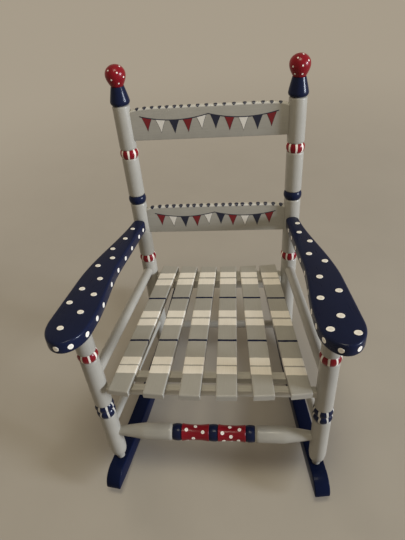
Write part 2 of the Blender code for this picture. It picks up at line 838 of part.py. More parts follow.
def slat_placement(index):
    share = slat_share(index)
    nose = slat_middle(index, SLAT_BOW * share * share - SLAT_OVERHANG)
    along = (slat_middle(index, POST_DEPTH) - slat_middle(index, 0.0)).normalized()
    across = along.cross(Vector((0.0, 0.0, 1.0)))
    placement = Matrix((across, along, (0.0, 0.0, 1.0))).transposed().to_4x4()
    placement.translation = nose
    return placement


def slat_screw_heads(index):
    """Where the heads of a slat's two screws sit: under the batten and under the back rail."""
    top = seat_underside()
    front = slat_middle(index, batten_y())
    front.z = top - BATTEN_HEIGHT + SCREW_RECESS
    back = slat_middle(index, back_rail_screw_y())
    back.z = top - BACK_RAIL_HEIGHT + SCREW_RECESS
    return front, back


def screw_outline(head, shank, length, spread, tail):
    """A countersunk screw, head down. Spread widens it into its hole, and tail carries the hole on below."""
    outline = [(head + spread, -tail)] if tail else []
    outline += [
        (head + spread, 0.0),
        (head + spread, SCREW_RIM + spread),
        (shank + spread, SCREW_RIM + head - shank + spread),
        (shank + spread, length - shank),
    ]
    if tail:
        return outline + [(shank + spread, length + spread)]
    return outline + [(shank / 4, length)]


def slat_screw(head_point, hole=False):
    length = SLAT_SCREW_BITE - SLAT_THICKNESS - head_point.z
    spread, tail = (FIT_GAP, BACK_RAIL_HEIGHT) if hole else (0.0, 0.0)
    outline = screw_outline(SLAT_SCREW_HEAD, SLAT_SCREW_SHANK, length, spread, tail)
    return turned(outline, PIN_SIDES)


def slat_screw_hole(head_point):
    solid = slat_screw(head_point, hole=True)
    solid.transform(Matrix.Translation(head_point))
    return solid


def add_slats(seat, paints):
    width = slat_width()
    for index in range(SLAT_COUNT):
        solid = board(slat_outline(), width, SLAT_EDGE)
        solid.transform(Matrix(((0, 0, 1, -width / 2), (1, 0, 0, 0), (0, 1, 0, 0), (0, 0, 0, 1))))
        slat = add_piece(f"seat_slat_{index + 1}", solid, paints["grey"], seat, slat_placement(index))
        heads = slat_screw_heads(index)
        cut_out(slat, seat, *[slat_screw_hole(head) for head in heads])
        for place, head in zip(("front", "back"), heads):
            name = f"seat_screw_{place}_{index + 1}"
            add_piece(name, slat_screw(head), paints["steel"], seat, Matrix.Translation(head))


def front_rail_end():
    """Half the length of the front rail, with its ends let into the posts."""
    depth = POST_RADIUS - FRONT_RAIL_DEPTH / 2 - SOCKET_WEB
    return FRONT_POST_SPACING / 2 - POST_RADIUS + depth


def front_rail_box(spread, reach):
    top = seat_underside()
    middle = front_axis(1, top - FRONT_RAIL_HEIGHT / 2).y
    half = FRONT_RAIL_DEPTH / 2 + spread
    low = Vector((-reach, middle - half, top - FRONT_RAIL_HEIGHT - spread))
    return low, Vector((reach, middle + half, top + spread))


def front_rail_mortise(side):
    low, high = front_rail_box(FIT_GAP, front_rail_end() + END_GAP)
    inner = FRONT_POST_SPACING / 2 - 2 * POST_RADIUS
    if side > 0:
        low.x = inner
    else:
        high.x = -inner
    return block(low, high)


def eased_block(low, high):
    """A square bar with its four long edges eased."""
    outline = [(low.y, low.z), (high.y, low.z), (high.y, high.z), (low.y, high.z)]
    solid = board(outline, high.x - low.x, RAIL_EDGE)
    solid.transform(Matrix(((0, 0, 1, low.x), (1, 0, 0, 0), (0, 1, 0, 0), (0, 0, 0, 1))))
    return solid


def add_front_rail(seat, paints):
    rail = eased_block(*front_rail_box(0.0, front_rail_end()))
    add_piece("front_seat_rail", rail, paints["grey"], seat)


def add_batten(seat, paints):
    top = seat_underside()
    reach = slat_middle(SLAT_COUNT - 1, batten_y()).x + slat_width() / 2 - BATTEN_INSET
    low = Vector((-reach, batten_y() - BATTEN_DEPTH / 2, top - BATTEN_HEIGHT))
    high = Vector((reach, batten_y() + BATTEN_DEPTH / 2, top))
    batten = add_piece("front_batten", eased_block(low, high), paints["grey"], seat)
    heads = [slat_screw_heads(index)[0] for index in range(SLAT_COUNT)]
    cut_out(batten, seat, *[slat_screw_hole(head) for head in heads])


def back_rail_reach(extra):
    """Half the length of the back rail's body, or of its tongues with their depth as extra."""
    level = seat_underside() - BACK_RAIL_HEIGHT
    return back_axis(1, level).x - POST_RADIUS - FIT_GAP + extra


def back_rail_tongue_depth():
    return POST_RADIUS - BACK_RAIL_TONGUE / 2 - SOCKET_WEB


def back_rail_tongue_span():
    middle = back_axis(1, seat_underside() - BACK_RAIL_HEIGHT / 2).y
    return middle - BACK_RAIL_TONGUE / 2, middle + BACK_RAIL_TONGUE / 2


def back_rail_mortise(side):
    low_y, high_y = back_rail_tongue_span()
    end = back_rail_reach(back_rail_tongue_depth()) + END_GAP
    ends = sorted((side * end, side * (end - 2 * POST_RADIUS)))
    top = seat_underside()
    return block(
        Vector((ends[0], low_y - FIT_GAP, top - BACK_RAIL_HEIGHT - FIT_GAP)),
        Vector((ends[1], high_y + FIT_GAP, top + FIT_GAP)),
    )


def add_back_rail(seat, paints):
    front, back = back_rail_span()
    tongue_front, tongue_back = back_rail_tongue_span()
    body = back_rail_reach(0.0)
    end = back_rail_reach(back_rail_tongue_depth())
    right = [
        (body, front),
        (body, tongue_front),
        (end, tongue_front),
        (end, tongue_back),
        (body, tongue_back),
        (body, back),
    ]
    solid = board(right + [(-x, y) for x, y in reversed(right)], BACK_RAIL_HEIGHT, RAIL_EDGE)
    solid.transform(Matrix.Translation((0.0, 0.0, seat_underside() - BACK_RAIL_HEIGHT)))
    rail = add_piece("back_seat_rail", solid, paints["grey"], seat)
    heads = [slat_screw_heads(index)[1] for index in range(SLAT_COUNT)]
    cut_out(rail, seat, *[slat_screw_hole(head) for head in heads])


# Rungs


def rung_ends(first, second, radius):
    """The ends of a rung between two posts' axes, let into both posts."""
    way = (second - first).normalized() * (POST_RADIUS - rung_socket_depth(radius))
    return first + way, second - way


def add_plain_rung(name, first, second, radius, seat, paints):
    start, end = rung_ends(first, second, radius)
    solid = turned(plain_outline(radius, (end - start).length), RUNG_SIDES)
    add_piece(name, solid, paints["grey"], seat, standing(start, end))


def add_side_rungs(name, side, seat, paints):
    add_plain_rung(f"upper_side_rung_{name}", front_axis(side, UPPER_RUNG_FRONT),
                   back_axis(side, UPPER_RUNG_BACK), UPPER_RUNG_RADIUS, seat, paints)
    add_plain_rung(f"lower_side_rung_{name}", front_axis(side, LOWER_RUNG_FRONT),
                   back_axis(side, LOWER_RUNG_BACK), LOWER_RUNG_RADIUS, seat, paints)


def add_front_rung(seat, paints):
    left, right = front_axis(-1, FRONT_RUNG_LEVEL), front_axis(1, FRONT_RUNG_LEVEL)
    start, end = rung_ends(left, right, FRONT_RUNG_END_RADIUS)
    half = half_rung_outline((end - start).length / 2)
    outline = [(radius, -along) for radius, along in reversed(half)] + half
    middle = (start + end) / 2
    rung = add_piece("front_rung", turned(outline, POST_SIDES), paints["grey"], seat, standing(middle, end))
    spool = RUNG_MIDDLE_BEAD / 2
    bead = spool + RUNG_SPOOL_LENGTH
    outer = bead + RUNG_OUTER_BEAD
    colour_bands(rung, [
        (-spool, spool, paints["navy"]),
        (spool, bead, paints["red"]),
        (-bead, -spool, paints["red"]),
        (bead, outer, paints["navy"]),
        (-outer, -bead, paints["navy"]),
    ])


# Screws under the rockers


def rocker_screw_head(axis, side):
    """The middle of a rocker screw's head, just inside the rocker's underside."""
    return axis(side, SCREW_RECESS - foot_reach(axis, side, ROCKER_RADIUS))


def rocker_screw_length(axis, side):
    depth = foot_reach(axis, side, ROCKER_RADIUS) - foot_on_rocker(axis, side)
    return depth - SCREW_RECESS - FOOT_SOCKET_DEPTH + ROCKER_SCREW_BITE


def rocker_screw_clearance(axis, side):
    """The stepped hole through the rocker for one of its screws, up into the foot's socket."""
    length = foot_reach(axis, side, ROCKER_RADIUS) - foot_on_rocker(axis, side)
    length -= SCREW_RECESS + FOOT_SOCKET_DEPTH + END_GAP / 2
    outline = screw_outline(ROCKER_SCREW_HEAD, ROCKER_SCREW_SHANK, length, FIT_GAP, ROCKER_HEIGHT / 4)
    solid = turned(outline, PIN_SIDES)
    head = rocker_screw_head(axis, side)
    solid.transform(standing(head, axis(side, 0.0)))
    return solid


def rocker_screw_hole(axis, side):
    """The pilot hole in a post's foot."""
    reach = foot_on_rocker(axis, side)
    low = axis(side, -reach - FOOT_SOCKET_DEPTH - FOOT_NECK_HEIGHT)
    high = axis(side, ROCKER_SCREW_BITE + END_GAP - reach - FOOT_SOCKET_DEPTH)
    return rod(low, high, ROCKER_SCREW_SHANK + FIT_GAP)


def add_rocker_screws(name, side, seat, paints):
    for place, axis in (("front", front_axis), ("back", back_axis)):
        head = rocker_screw_head(axis, side)
        length = rocker_screw_length(axis, side)
        outline = screw_outline(ROCKER_SCREW_HEAD, ROCKER_SCREW_SHANK, length, 0.0, 0.0)
        add_piece(f"rocker_screw_{place}_{name}", turned(outline, PIN_SIDES), paints["steel"], seat,
                  standing(head, axis(side, 0.0)))


# The chair


def clear_scene():
    for item in list(bpy.data.objects):
        bpy.data.objects.remove(item, do_unlink=True)


def build_chair():
    clear_scene()
    paints = make_paints()
    seat = add_frame("seat_frame", None, seat_location(), -SEAT_TILT)
    back = add_frame("back_frame", seat, (0.0, POST_DEPTH, 0.0), -BACK_POST_LEAN)
    for name, side in SIDES:
        add_front_post(name, side, seat, paints)
        add_back_post(name, side, seat, paints)
        add_rocker(name, side, seat, paints)
        add_rocker_screws(name, side, seat, paints)
        add_arm(name, side, seat, paints)
        add_side_rungs(name, side, seat, paints)
    add_back_slat("crest_slat", CREST_SLAT_BOTTOM, back, paints)
    add_back_slat("lower_back_slat", LOWER_SLAT_BOTTOM, back, paints)
    add_slats(seat, paints)
    add_front_rail(seat, paints)
    add_batten(seat, paints)
    add_back_rail(seat, paints)
    add_front_rung(seat, paints)
    add_plain_rung("back_rung", back_axis(-1, BACK_RUNG_LEVEL), back_axis(1, BACK_RUNG_LEVEL),
                   BACK_RUNG_RADIUS, seat, paints)


build_chair()
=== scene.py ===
"""The looks of a child's slatted rocking chair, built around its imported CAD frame.

The chair stands on the floor at z = 0, faces -Y and is mirrored about x = 0.
Most pieces are laid out in the seat's frame, which leans back with the chair: its origin lies on
the seat's top, midway between the front posts, +Y runs back and +Z stands square on the seat.
Heights on a post are measured along it from the seat's top. Lengths are in metres.
"""

from math import atan2, cos, dist, pi, radians, sin, sqrt, tan

import bmesh
import bpy
from mathutils import Matrix, Vector, noise
from mathutils.bvhtree import BVHTree


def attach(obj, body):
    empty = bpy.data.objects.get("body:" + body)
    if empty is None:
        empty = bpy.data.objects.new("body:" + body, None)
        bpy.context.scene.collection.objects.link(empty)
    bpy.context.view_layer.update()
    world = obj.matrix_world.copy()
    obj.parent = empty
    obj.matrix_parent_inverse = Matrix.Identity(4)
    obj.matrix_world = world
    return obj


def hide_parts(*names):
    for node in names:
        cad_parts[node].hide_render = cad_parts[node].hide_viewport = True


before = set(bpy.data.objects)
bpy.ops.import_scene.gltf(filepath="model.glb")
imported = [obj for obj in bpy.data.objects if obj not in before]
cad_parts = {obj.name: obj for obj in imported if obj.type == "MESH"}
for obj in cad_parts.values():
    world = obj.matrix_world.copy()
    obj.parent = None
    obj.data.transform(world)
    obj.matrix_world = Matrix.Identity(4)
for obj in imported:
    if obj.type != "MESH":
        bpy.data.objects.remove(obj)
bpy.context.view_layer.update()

# Stance
SEAT_TILT = radians(2.7)
SEAT_HEIGHT = 0.282
SEAT_FORWARD = 0.2123

# Posts, between their axes on the seat's top
POST_RADIUS = 0.016
FRONT_SPACING = 0.3885
BACK_SPACING = 0.3054
POST_DEPTH = 0.3133
FRONT_POST_LEAN = radians(0.3)
BACK_POST_LEAN = radians(3.0)
BACK_POST_SPLAY = radians(0.75)

# Turned beads on the posts
BEAD_BULGE = 0.0014
BEAD_FULLNESS = 0.7
GROOVE_DEPTH = 0.0017
GROOVE_SHOULDER = 0.0038
# From the foot up: middle, height, paint, and each bead's turn of a stripe, 0 to the right, -90 to the front
FRONT_BEADS = (
    (-0.0718, 0.0165, "navy_stripes", {"left": (-57, -57), "right": (-119, -122)}),
    (0.0708, 0.0172, "red_stripes", {"left": (-64,), "right": (-108,)}),
)
BACK_BEADS = (
    (0.0378, 0.0172, "red_stripes", {"left": (-75,), "right": (-113,)}),
    (0.1776, 0.0172, "navy", {"left": (0,), "right": (0,)}),
    (0.2731, 0.0172, "red_stripes", {"left": (-81,), "right": (-87,)}),
)

# Finial of a back post: a bell with an egg on it
BACK_POST_TOP = 0.3628
POST_TOP_ROUND = 0.0035
BELL_HEIGHT = 0.0322
BELL_RADIUS = 0.0179
BELL_LIP = 0.0065
BELL_NECK_RADIUS = 0.0118
BELL_FLARE = 1.12
EGG_BASE = BACK_POST_TOP + BELL_HEIGHT
EGG_HEIGHT = 0.0362
EGG_RADIUS = 0.0181
EGG_WIDEST = 0.0196
EGG_FOOT_INSET = 0.001
EGG_POLE_RADIUS = 0.0004
EGG_POLE_STEP = 0.5

# Feet of the posts
FOOT_NECK_RADIUS = 0.0077
FOOT_NECK_HEIGHT = 0.0155
FOOT_TAPER_HEIGHT = 0.025
FOOT_SHOULDER = 0.0026
FOOT_SOCKET_DEPTH = 0.02
FOOT_TRIES = 12

# Rockers
ROCKER_RADIUS = 1.2
ROCKER_FLAT = 0.04
ROCKER_HEIGHT = 0.034
ROCKER_THICKNESS = 0.029
ROCKER_LENGTH = 0.563
REST_BEHIND_MIDDLE = -0.0305
ROCKER_BACK_OUTSET = 0.0025
ROCKER_NOSE = 0.032
ROCKER_EDGE = 0.0022

# Back slats
BACK_SLAT_THICKNESS = 0.0115
BACK_SLAT_HEIGHT = 0.06
SHOULDER_DROP = 0.0055
SHOULDER_RUN = 0.045
BACK_SLAT_TENON = 0.0095
BACK_SLAT_EDGE = 0.0012
BACK_SLAT_TOP_ROUND = 0.0034
CREST_SLAT_BOTTOM = 0.2972
LOWER_SLAT_BOTTOM = 0.0998

# Arms; the last two are shares of the length from the front post to the back end
ARM_THICKNESS = 0.0222
ARM_FRONT_UNDERSIDE = 0.1323
ARM_BACK_UNDERSIDE = 0.1136
ARM_OUTER_FRONT = 0.0375
ARM_INNER_FRONT = 0.0293
ARM_OUTER_BACK = 0.0098
ARM_INNER_BACK = 0.0153
ARM_NOSE_START = 0.014
ARM_NOSE_LENGTH = 0.0475
ARM_END_ROUND = 0.01
ARM_EDGE = 0.004
POST_INTO_ARM = 0.004
ARM_OUTER_NARROWS = 0.296
ARM_INNER_NARROWED = 0.49

# Seat slats
SLAT_COUNT = 6
SLAT_LENGTH = 0.347
SLAT_THICKNESS = 0.012
SLAT_GAP = 0.0085
SLAT_POST_GAP = 0.01
SLAT_OVERHANG = 0.0265
SLAT_BOW = 0.007
SLAT_NOSE_ROUND = 0.003
SLAT_EDGE = 0.001
SLAT_EDGES_PER_HEIGHT = 2.2

# Rungs; a side rung is its level on the front post and on the back post, and its radius
SIDE_RUNGS = {"upper": (0.015, 0.005, 0.0096), "lower": (-0.1303, -0.147, 0.0077)}
BACK_RUNG_RADIUS = 0.009
BACK_RUNG_LEVEL = -0.163
FRONT_RUNG_LEVEL = -0.1452
FRONT_RUNG_RADIUS = 0.0157
RUNG_END_RADIUS = 0.0088
RUNG_TAPER = 0.049
RUNG_MIDDLE_BEAD = 0.0166
RUNG_OUTER_BEAD = 0.0172
SPOOL_LENGTH = 0.0511
SPOOL_RADIUS = 0.0139
SPOOL_LIP = 0.0009
SPOOL_FLARE = 2.4
COVE = 0.004
COVE_DEPTH = 0.0016
RUNG_INTO_POST = 0.006

# Painted stripes round the beads
STRIPE_COLUMNS = 3
STRIPE_WOBBLE = radians(3.0)
STRIPE_PINCH = radians(1.8)

# Stripes across the seat: distances of their back and front edges behind the front posts
CREAM_STRIPES = (
    (0.3007, 0.2834), (0.2789, 0.2598),
    (0.1787, 0.1601), (0.1557, 0.1378),
    (0.0575, 0.04), (0.0373, 0.02),
)
NAVY_LINES = (0.2171, 0.0985)
NAVY_LINE_WIDTH = 0.0046
STRIPE_EDGE_WOBBLE = 0.0005
LINE_DROOP = 0.0035
# Wobble of painted edges: its scale, and its steps from edge to edge and from slat to slat
WOBBLE_SCALE = 90
EDGE_WOBBLE_STEP = 3.7
SLAT_WOBBLE_STEP = 11.3

# Painted dots
DAB_RIM = 0.00035
DAB_RIM_SHARE = 0.7
DAB_HOLLOW = 0.00022
DAB_SIDES = 24
DAB_RINGS = (0.0, 0.35, 0.62, 0.82, 0.94, 1.0)
DAB_WOBBLE = 0.06
DAB_WOBBLE_SCALE = 300
DAB_REACH = 0.012
# Radius of a dot on an arm at the front post and at the back post
ARM_TOP_DOT = {"left": (0.0055, 0.0043), "right": (0.0062, 0.0047)}
ARM_TOP_DOT_FLATNESS = 0.88
ARM_RIM_DOT = (0.0047, 0.004)
# On an arm's top: distance behind the front post, and outwards from the line between the posts
ARM_TOP_DOTS = {
    "left": (
        (0.268, 0.0), (0.23, 0.002), (0.192, 0.013), (0.162, 0.002), (0.135, 0.019), (0.098, 0.0),
        (0.067, 0.019), (0.055, -0.007), (0.03, 0.024), (0.01, -0.004), (-0.029, 0.011),
    ),
    "right": (
        (0.276, 0.003), (0.242, -0.001), (0.208, 0.011), (0.167, 0.0), (0.141, 0.021), (0.098, 0.001),
        (0.058, 0.021), (0.044, -0.011), (0.0, 0.007), (-0.026, -0.015), (-0.038, 0.02),
    ),
}
# On an arm's rim: distance from the back end, along the inner side and round the nose
ARM_RIM_DOTS = {
    "left": (0.028, 0.054, 0.097, 0.132, 0.171, 0.213, 0.268, 0.301, 0.337, 0.369, 0.391),
    "right": (0.041, 0.069, 0.106, 0.146, 0.185, 0.237, 0.285, 0.318, 0.348, 0.377, 0.404),
}
ARM_RIM_PITCH = 0.036
EGG_DOT = 0.0015
# On the front of an egg: height above its foot and turn, 0 to the right and -90 to the front
EGG_DOTS = {
    "left": ((0.029, -122), (0.0325, -18), (0.025, -63), (0.016, -26), (0.014, -102), (0.007, -61)),
    "right": (
        (0.031, -113), (0.035, -54), (0.026, -41), (0.018, -134), (0.02, -80), (0.006, -128),
        (0.006, -76),
    ),
}
RUNG_DOT = 0.0034
# On the front rung: distance from its middle, and turns round it, 180 to the top and 270 to the front
RUNG_DOTS = (
    (-0.0503, (196, 316, 76)), (-0.0372, (264, 70)), (-0.0338, (165, 352)), (-0.0195, (211, 331, 91)),
    (0.0169, (214, 338, 80)), (0.0191, (285,)), (0.0303, (164, 30, 105)), (0.0327, (240, 310)),
    (0.0463, (276,)), (0.0482, (186, 340, 60)),
)
EDGE_DOT_WIDTH = 0.88
EDGE_DOT_TAPER = 0.16
EDGE_DOT_FORWARD = 0.0033
# On a back slat's upper edge: half a dot's length, the left and right margins and the steps between
CREST_EDGE_DOTS = (0.0041, 0.0125, 0.0133, (
    7.7, 7.8, 7.9, 7.3, 7.8, 6.7, 8.0, 8.6, 8.7, 8.9, 8.7, 9.5, 10.6, 8.6, 9.2, 8.4, 8.7,
))
LOWER_EDGE_DOTS = (0.0046, 0.0117, 0.0055, (
    7.5, 7.3, 6.8, 6.9, 7.0, 6.1, 6.9, 7.1, 7.4, 7.0, 6.8, 6.1, 5.7, 7.7, 7.2, 7.0, 7.5, 7.3,
))

# Bunting painted on the back slats: pennants on a line that hangs in swags
PENNANT_WIDTH = 0.017
PENNANT_HEIGHT = 0.023
PENNANT_OUTLINE = 0.001
PENNANT_TIP_OUTLINE = 1.6
PENNANT_PAINTS = ("red", "cream", "navy")
PENNANTS_PER_SWAG = 5
BUNTING_SWAGS = 2
BUNTING_TOP = 0.044
BUNTING_SAG = 0.0085
BUNTING_MARGIN = 0.016
BUNTING_LINE = 0.0013
PAINT_RISE = 0.00025
OUTLINE_RISE = PAINT_RISE / 2
LINE_RISE = PAINT_RISE * 1.2
PAINT_SINK = 0.0004
JUST_INSIDE = 1e-6

# Fineness of the meshes
COLUMNS = 72
ARC_STEPS = 10
EDGE_STEPS = 4
SLAT_COLUMNS = 12
SHARP = radians(40)

# Plain colours of the finishes, in linear light
GREY = (0.366, 0.349, 0.306)
PALE = (0.56, 0.54, 0.49)
CREAM = (0.84, 0.785, 0.69)
BRIGHT_CREAM = (0.94, 0.9, 0.82)
NAVY = (0.0062, 0.0105, 0.037)
RED = (0.215, 0.0045, 0.012)
BEECH = (0.52, 0.33, 0.17)
ZINC = (0.62, 0.61, 0.59)
WHITE = (1.0, 1.0, 1.0)
# Each paint's colour, roughness, gloss and its lighter edge colour, partly wear and partly a painted
# highlight
PAINTS = {
    "grey": (GREY, 0.36, 0.35, (0.588, 0.5495, 0.483)),
    "cream": (CREAM, 0.42, 0.3, (0.966, 0.90275, 0.7935)),
    "navy": (NAVY, 0.3, 0.1, (0.03, 0.04, 0.11)),
    "red": (RED, 0.28, 0.2, (0.32, 0.015, 0.03)),
    "pale": (PALE, 0.4, 0.3, CREAM),
}
PAINT_ORDER = list(PAINTS)
PAINT_COAT = 0.14
ROCKER_SHADE = 0.85
ROCKER_GLOSS = 0.03
ROCKER_COAT = 0.04

# Studio; a lamp is its place, size, power and colour, and whether glossy paint mirrors it
FLOOR = (0.43, 0.392, 0.333)
FLOOR_REACH = 60.0
FLOOR_GLOW = 0.05
FLOOR_FADE = (0.25, 2.4)
BACKDROP = (0.385, 0.333, 0.258, 1.0)
SKY = (1.0, 0.835, 0.64, 1.0)
SKY_STRENGTH = 0.205
LAMP_AIM = Vector((0.0, 0.0, 0.3))
LAMPS = {
    "window": ((5.82, -1.45, 1.47), 1.5, 400.0, (0.83, 0.895, 1.0), True),
    "fill": ((-3.0, 2.8, 1.3), 2.0, 48.0, (1.0, 0.93, 0.83), False),
    "ceiling": ((0.1, -0.5, 2.5), 0.8, 17.0, (1.0, 0.94, 0.75), True),
}

# Camera, fitted to the photograph
CAMERA_PLACE = (0.0763, -0.6719, 0.9316)
CAMERA_TURN = (0.8603, 0.0795, 0.0754)
CAMERA_LENS = 30.73

RIGHT = Vector((1.0, 0.0, 0.0))
BACKWARDS = Vector((0.0, 1.0, 0.0))
UP = Vector((0.0, 0.0, 1.0))
SEAT_FRAME = Matrix.Translation((0.0, -SEAT_FORWARD, SEAT_HEIGHT)) @ Matrix.Rotation(-SEAT_TILT, 4, "X")
# The back's frame: its origin lies between the back posts, and +Z runs up along them
BACK_LEAN = Matrix.Rotation(-BACK_POST_LEAN, 4, "X")
BACK_FRAME = SEAT_FRAME @ Matrix.Translation((0.0, POST_DEPTH, 0.0)) @ BACK_LEAN
SIDES = (("left", -1), ("right", 1))
# Striped bands: the band's paint, the stripes' paint and how many stripes go round
STRIPED_BANDS = {"red_stripes": ("red", "cream", 8), "navy_stripes": ("navy", "pale", 7)}


# Materials


def feed(node, values):
    """Gives a node's inputs their values. Another node's output is linked."""
    for name, value in values.items():
        if isinstance(value, bpy.types.NodeSocket):
            node.id_data.links.new(value, node.inputs[name])
        else:
            node.inputs[name].default_value = value
    return node


def add_node(tree, kind, values=(), **settings):
    made = tree.nodes.new(f"ShaderNode{kind}")
    for name, value in settings.items():
        setattr(made, name, value)
    return feed(made, dict(values))


def own_noise(tree, scale, detail, across=1.0, along=None):
    """Noise in the piece's own space, drawn out along an axis where one is named."""
    place = add_node(tree, "TexCoord").outputs["Object"]
    stretch = [1.0 if axis == along else across for axis in "XYZ"]
    mapping = add_node(tree, "Mapping", {"Vector": place, "Scale": stretch})
    values = {"Vector": mapping.outputs["Vector"], "Scale": scale, "Detail": detail}
    return add_node(tree, "TexNoise", values).outputs["Fac"]


def ramp(source, *stops):
    """A colour ramp. Each stop is (position, colour)."""
    made = add_node(source.id_data, "ValToRGB", {"Fac": source})
    elements = made.color_ramp.elements
    while len(elements) < len(stops):
        elements.new(0.5)
    for element, (position, colour) in zip(elements, stops):
        element.position = position
        element.color = (*colour, 1.0)
    return made.outputs["Color"]


def shade(colour, factor):
    return tuple(part * factor for part in colour)


def tones(source, colour, *stops):
    """Darker and lighter tones of a colour. Each stop is (position, factor)."""
    return ramp(source, *[(position, shade(colour, factor)) for position, factor in stops])


def spread(source, low, high):
    """Noise, which mostly lies between 0.3 and 0.7, spread over a range."""
    values = {"Value": source, "From Min": 0.3, "From Max": 0.7, "To Min": low, "To Max": high}
    return add_node(source.id_data, "MapRange", values).outputs["Result"]


def blended(first, second, share):
    """Two colours mixed by a share. A Mix node's colours are its inputs 6 and 7."""
    values = {"Factor": share, 6: first, 7: second}
    return add_node(first.id_data, "Mix", values, data_type="RGBA").outputs[2]


def averaged(first, second):
    """The mean of two noises. A Mix node's plain values are its inputs 2 and 3."""
    return add_node(first.id_data, "Mix", {"Factor": 0.5, 2: first, 3: second}).outputs[0]


def bumped(source, distance, below=None):
    """A bump from a noise, over another bump where there is one."""
    values = {"Distance": distance, "Height": source}
    if below is not None:
        values["Normal"] = below
    return add_node(source.id_data, "Bump", values).outputs["Normal"]


def new_material(name):
    material = bpy.data.materials.new(name)
    material.use_nodes = True
    return material, material.node_tree, material.node_tree.nodes["Principled BSDF"]


def painted(name, along, colour, roughness, gloss, wear_and_sheen, coat=PAINT_COAT):
    """Brushed paint, streaked along one axis of the piece. Its edges are lighter, partly from wear and
    partly as a painted highlight.
    """
    material, tree, shader = new_material(name)
    streaks = own_noise(tree, scale=26, detail=4, across=24, along=along)
    clouds = own_noise(tree, scale=34, detail=3)
    peel = own_noise(tree, scale=1300, detail=1)
    tone = averaged(streaks, clouds)
    body = tones(tone, colour, (0.3, 0.92), (0.52, 1.0), (0.72, 1.07))
    # Edges get a lighter colour: partly wear, partly a painted highlight where light catches them
    edge_wear_and_sheen = ramp(streaks, (0.35, shade(colour, 1.15)), (0.7, wear_and_sheen))
    pointed = add_node(tree, "NewGeometry").outputs["Pointiness"]
    edges = tones(pointed, WHITE, (0.53, 0.0), (0.64, 0.6))
    feed(shader, {
        "Base Color": blended(body, edge_wear_and_sheen, edges),
        "Roughness": spread(tone, roughness - 0.06, roughness + 0.08),
        "Normal": bumped(peel, 0.00003, bumped(streaks, 0.00006)),
        "Specular IOR Level": gloss,
        "Coat Weight": coat,
        "Coat Roughness": 0.09,
    })
    return material


def dabbed(name, colour):
    """Thick paint in a dot, thinner and duller in its middle."""
    material, tree, shader = new_material(name)
    centre = add_node(tree, "Attribute", attribute_name="from_middle").outputs["Fac"]
    swirl = own_noise(tree, scale=700, detail=3)
    feed(shader, {
        "Base Color": tones(averaged(centre, swirl), colour, (0.2, 0.76), (0.45, 0.95), (0.7, 1.05)),
        "Roughness": spread(swirl, 0.3, 0.46),
        "Normal": bumped(swirl, 0.0001),
        "Coat Weight": 0.25,
        "Coat Roughness": 0.2,
    })
    return material


def beech():
    """Bare beech: long grain with short dark flecks."""
    material, tree, shader = new_material("bare_beech")
    grain = own_noise(tree, scale=40, detail=5, across=18, along="Z")
    flecks = own_noise(tree, scale=300, detail=2, across=8, along="Z")
    feed(shader, {
        "Base Color": tones(averaged(grain, flecks), BEECH, (0.32, 0.7), (0.55, 1.0), (0.75, 1.2)),
        "Roughness": spread(flecks, 0.5, 0.7),
        "Normal": bumped(flecks, 0.0001),
    })
    return material


def zinc():
    """Zinc-plated steel: dull, with a fine crystalline bloom."""
    material, tree, shader = new_material("zinc_steel")
    bloom = own_noise(tree, scale=900, detail=4)
    feed(shader, {
        "Base Color": tones(bloom, ZINC, (0.35, 0.75), (0.65, 1.1)),
        "Roughness": spread(bloom, 0.28, 0.48),
        "Normal": bumped(bloom, 0.00003),
        "Metallic": 1.0,
    })
    return material


def paint_set(along):
    return [painted(f"{paint}_paint_{along.lower()}", along, *PAINTS[paint]) for paint in PAINT_ORDER]


def rocker_set(paints):
    """The same paints with a darker, duller navy for the rockers."""
    colour, roughness, _, wear_and_sheen = PAINTS["navy"]
    colour = shade(colour, ROCKER_SHADE)
    duller = painted("rocker_navy_paint", "Y", colour, roughness, ROCKER_GLOSS, wear_and_sheen, ROCKER_COAT)
    return [duller if paint == "navy" else material for paint, material in zip(PAINT_ORDER, paints)]


# Layout


def between(start, end, share):
    return start + (end - start) * share


def eased(start, end, share):
    """Runs smoothly from start to end as share goes from 0 to 1."""
    share = min(max(share, 0.0), 1.0)
    return between(start, end, share * share * (3 - 2 * share))


def shares(steps=ARC_STEPS):
    return [step / steps for step in range(steps + 1)]


def point_between(start, end, first_share, second_share):
    return between(start[0], end[0], first_share), between(start[1], end[1], second_share)


def line_points(start, end):
    return [point_between(start, end, share, share) for share in shares()]


def quarter_arc(start, end, steps=ARC_STEPS):
    """A quarter of an ellipse, from start along the second axis to end along the first."""
    turns = [pi / 2 * share for share in shares(steps)]
    return [point_between(start, end, 1 - cos(turn), sin(turn)) for turn in turns]


def around(radius, turn, height):
    """A point about the Z axis."""
    return Vector((radius * cos(turn), radius * sin(turn), height))


def placed(across, along, up, origin):
    placement = Matrix((across, along, up)).transposed().to_4x4()
    placement.translation = origin
    return placement


def front_axis(side, height):
    """A point on a front post's axis, in the seat's frame."""
    lean = FRONT_POST_LEAN
    return Vector((side * FRONT_SPACING / 2, height * sin(lean), height * cos(lean)))


def back_axis(side, height):
    """A point on a back post's axis, in the seat's frame."""
    lean = BACK_POST_LEAN
    outwards = BACK_SPACING / 2 + height * tan(BACK_POST_SPLAY)
    return Vector((side * outwards, POST_DEPTH + height * sin(lean), height * cos(lean)))


def standing(start, end, towards=BACKWARDS):
    """Stands a turned piece on start and points it at end, its own +Y towards a direction."""
    up = (end - start).normalized()
    across = towards.cross(up).normalized()
    return SEAT_FRAME @ placed(across, up.cross(across), up, start)


def rocker_curve(radius, y):
    """The height of a rocker's curve, at a distance behind the flat it rests on."""
    return ROCKER_RADIUS * cos(ROCKER_FLAT / ROCKER_RADIUS / 2) - sqrt(radius * radius - y * y)


def rocker_top(y):
    return rocker_curve(ROCKER_RADIUS - ROCKER_HEIGHT, y)


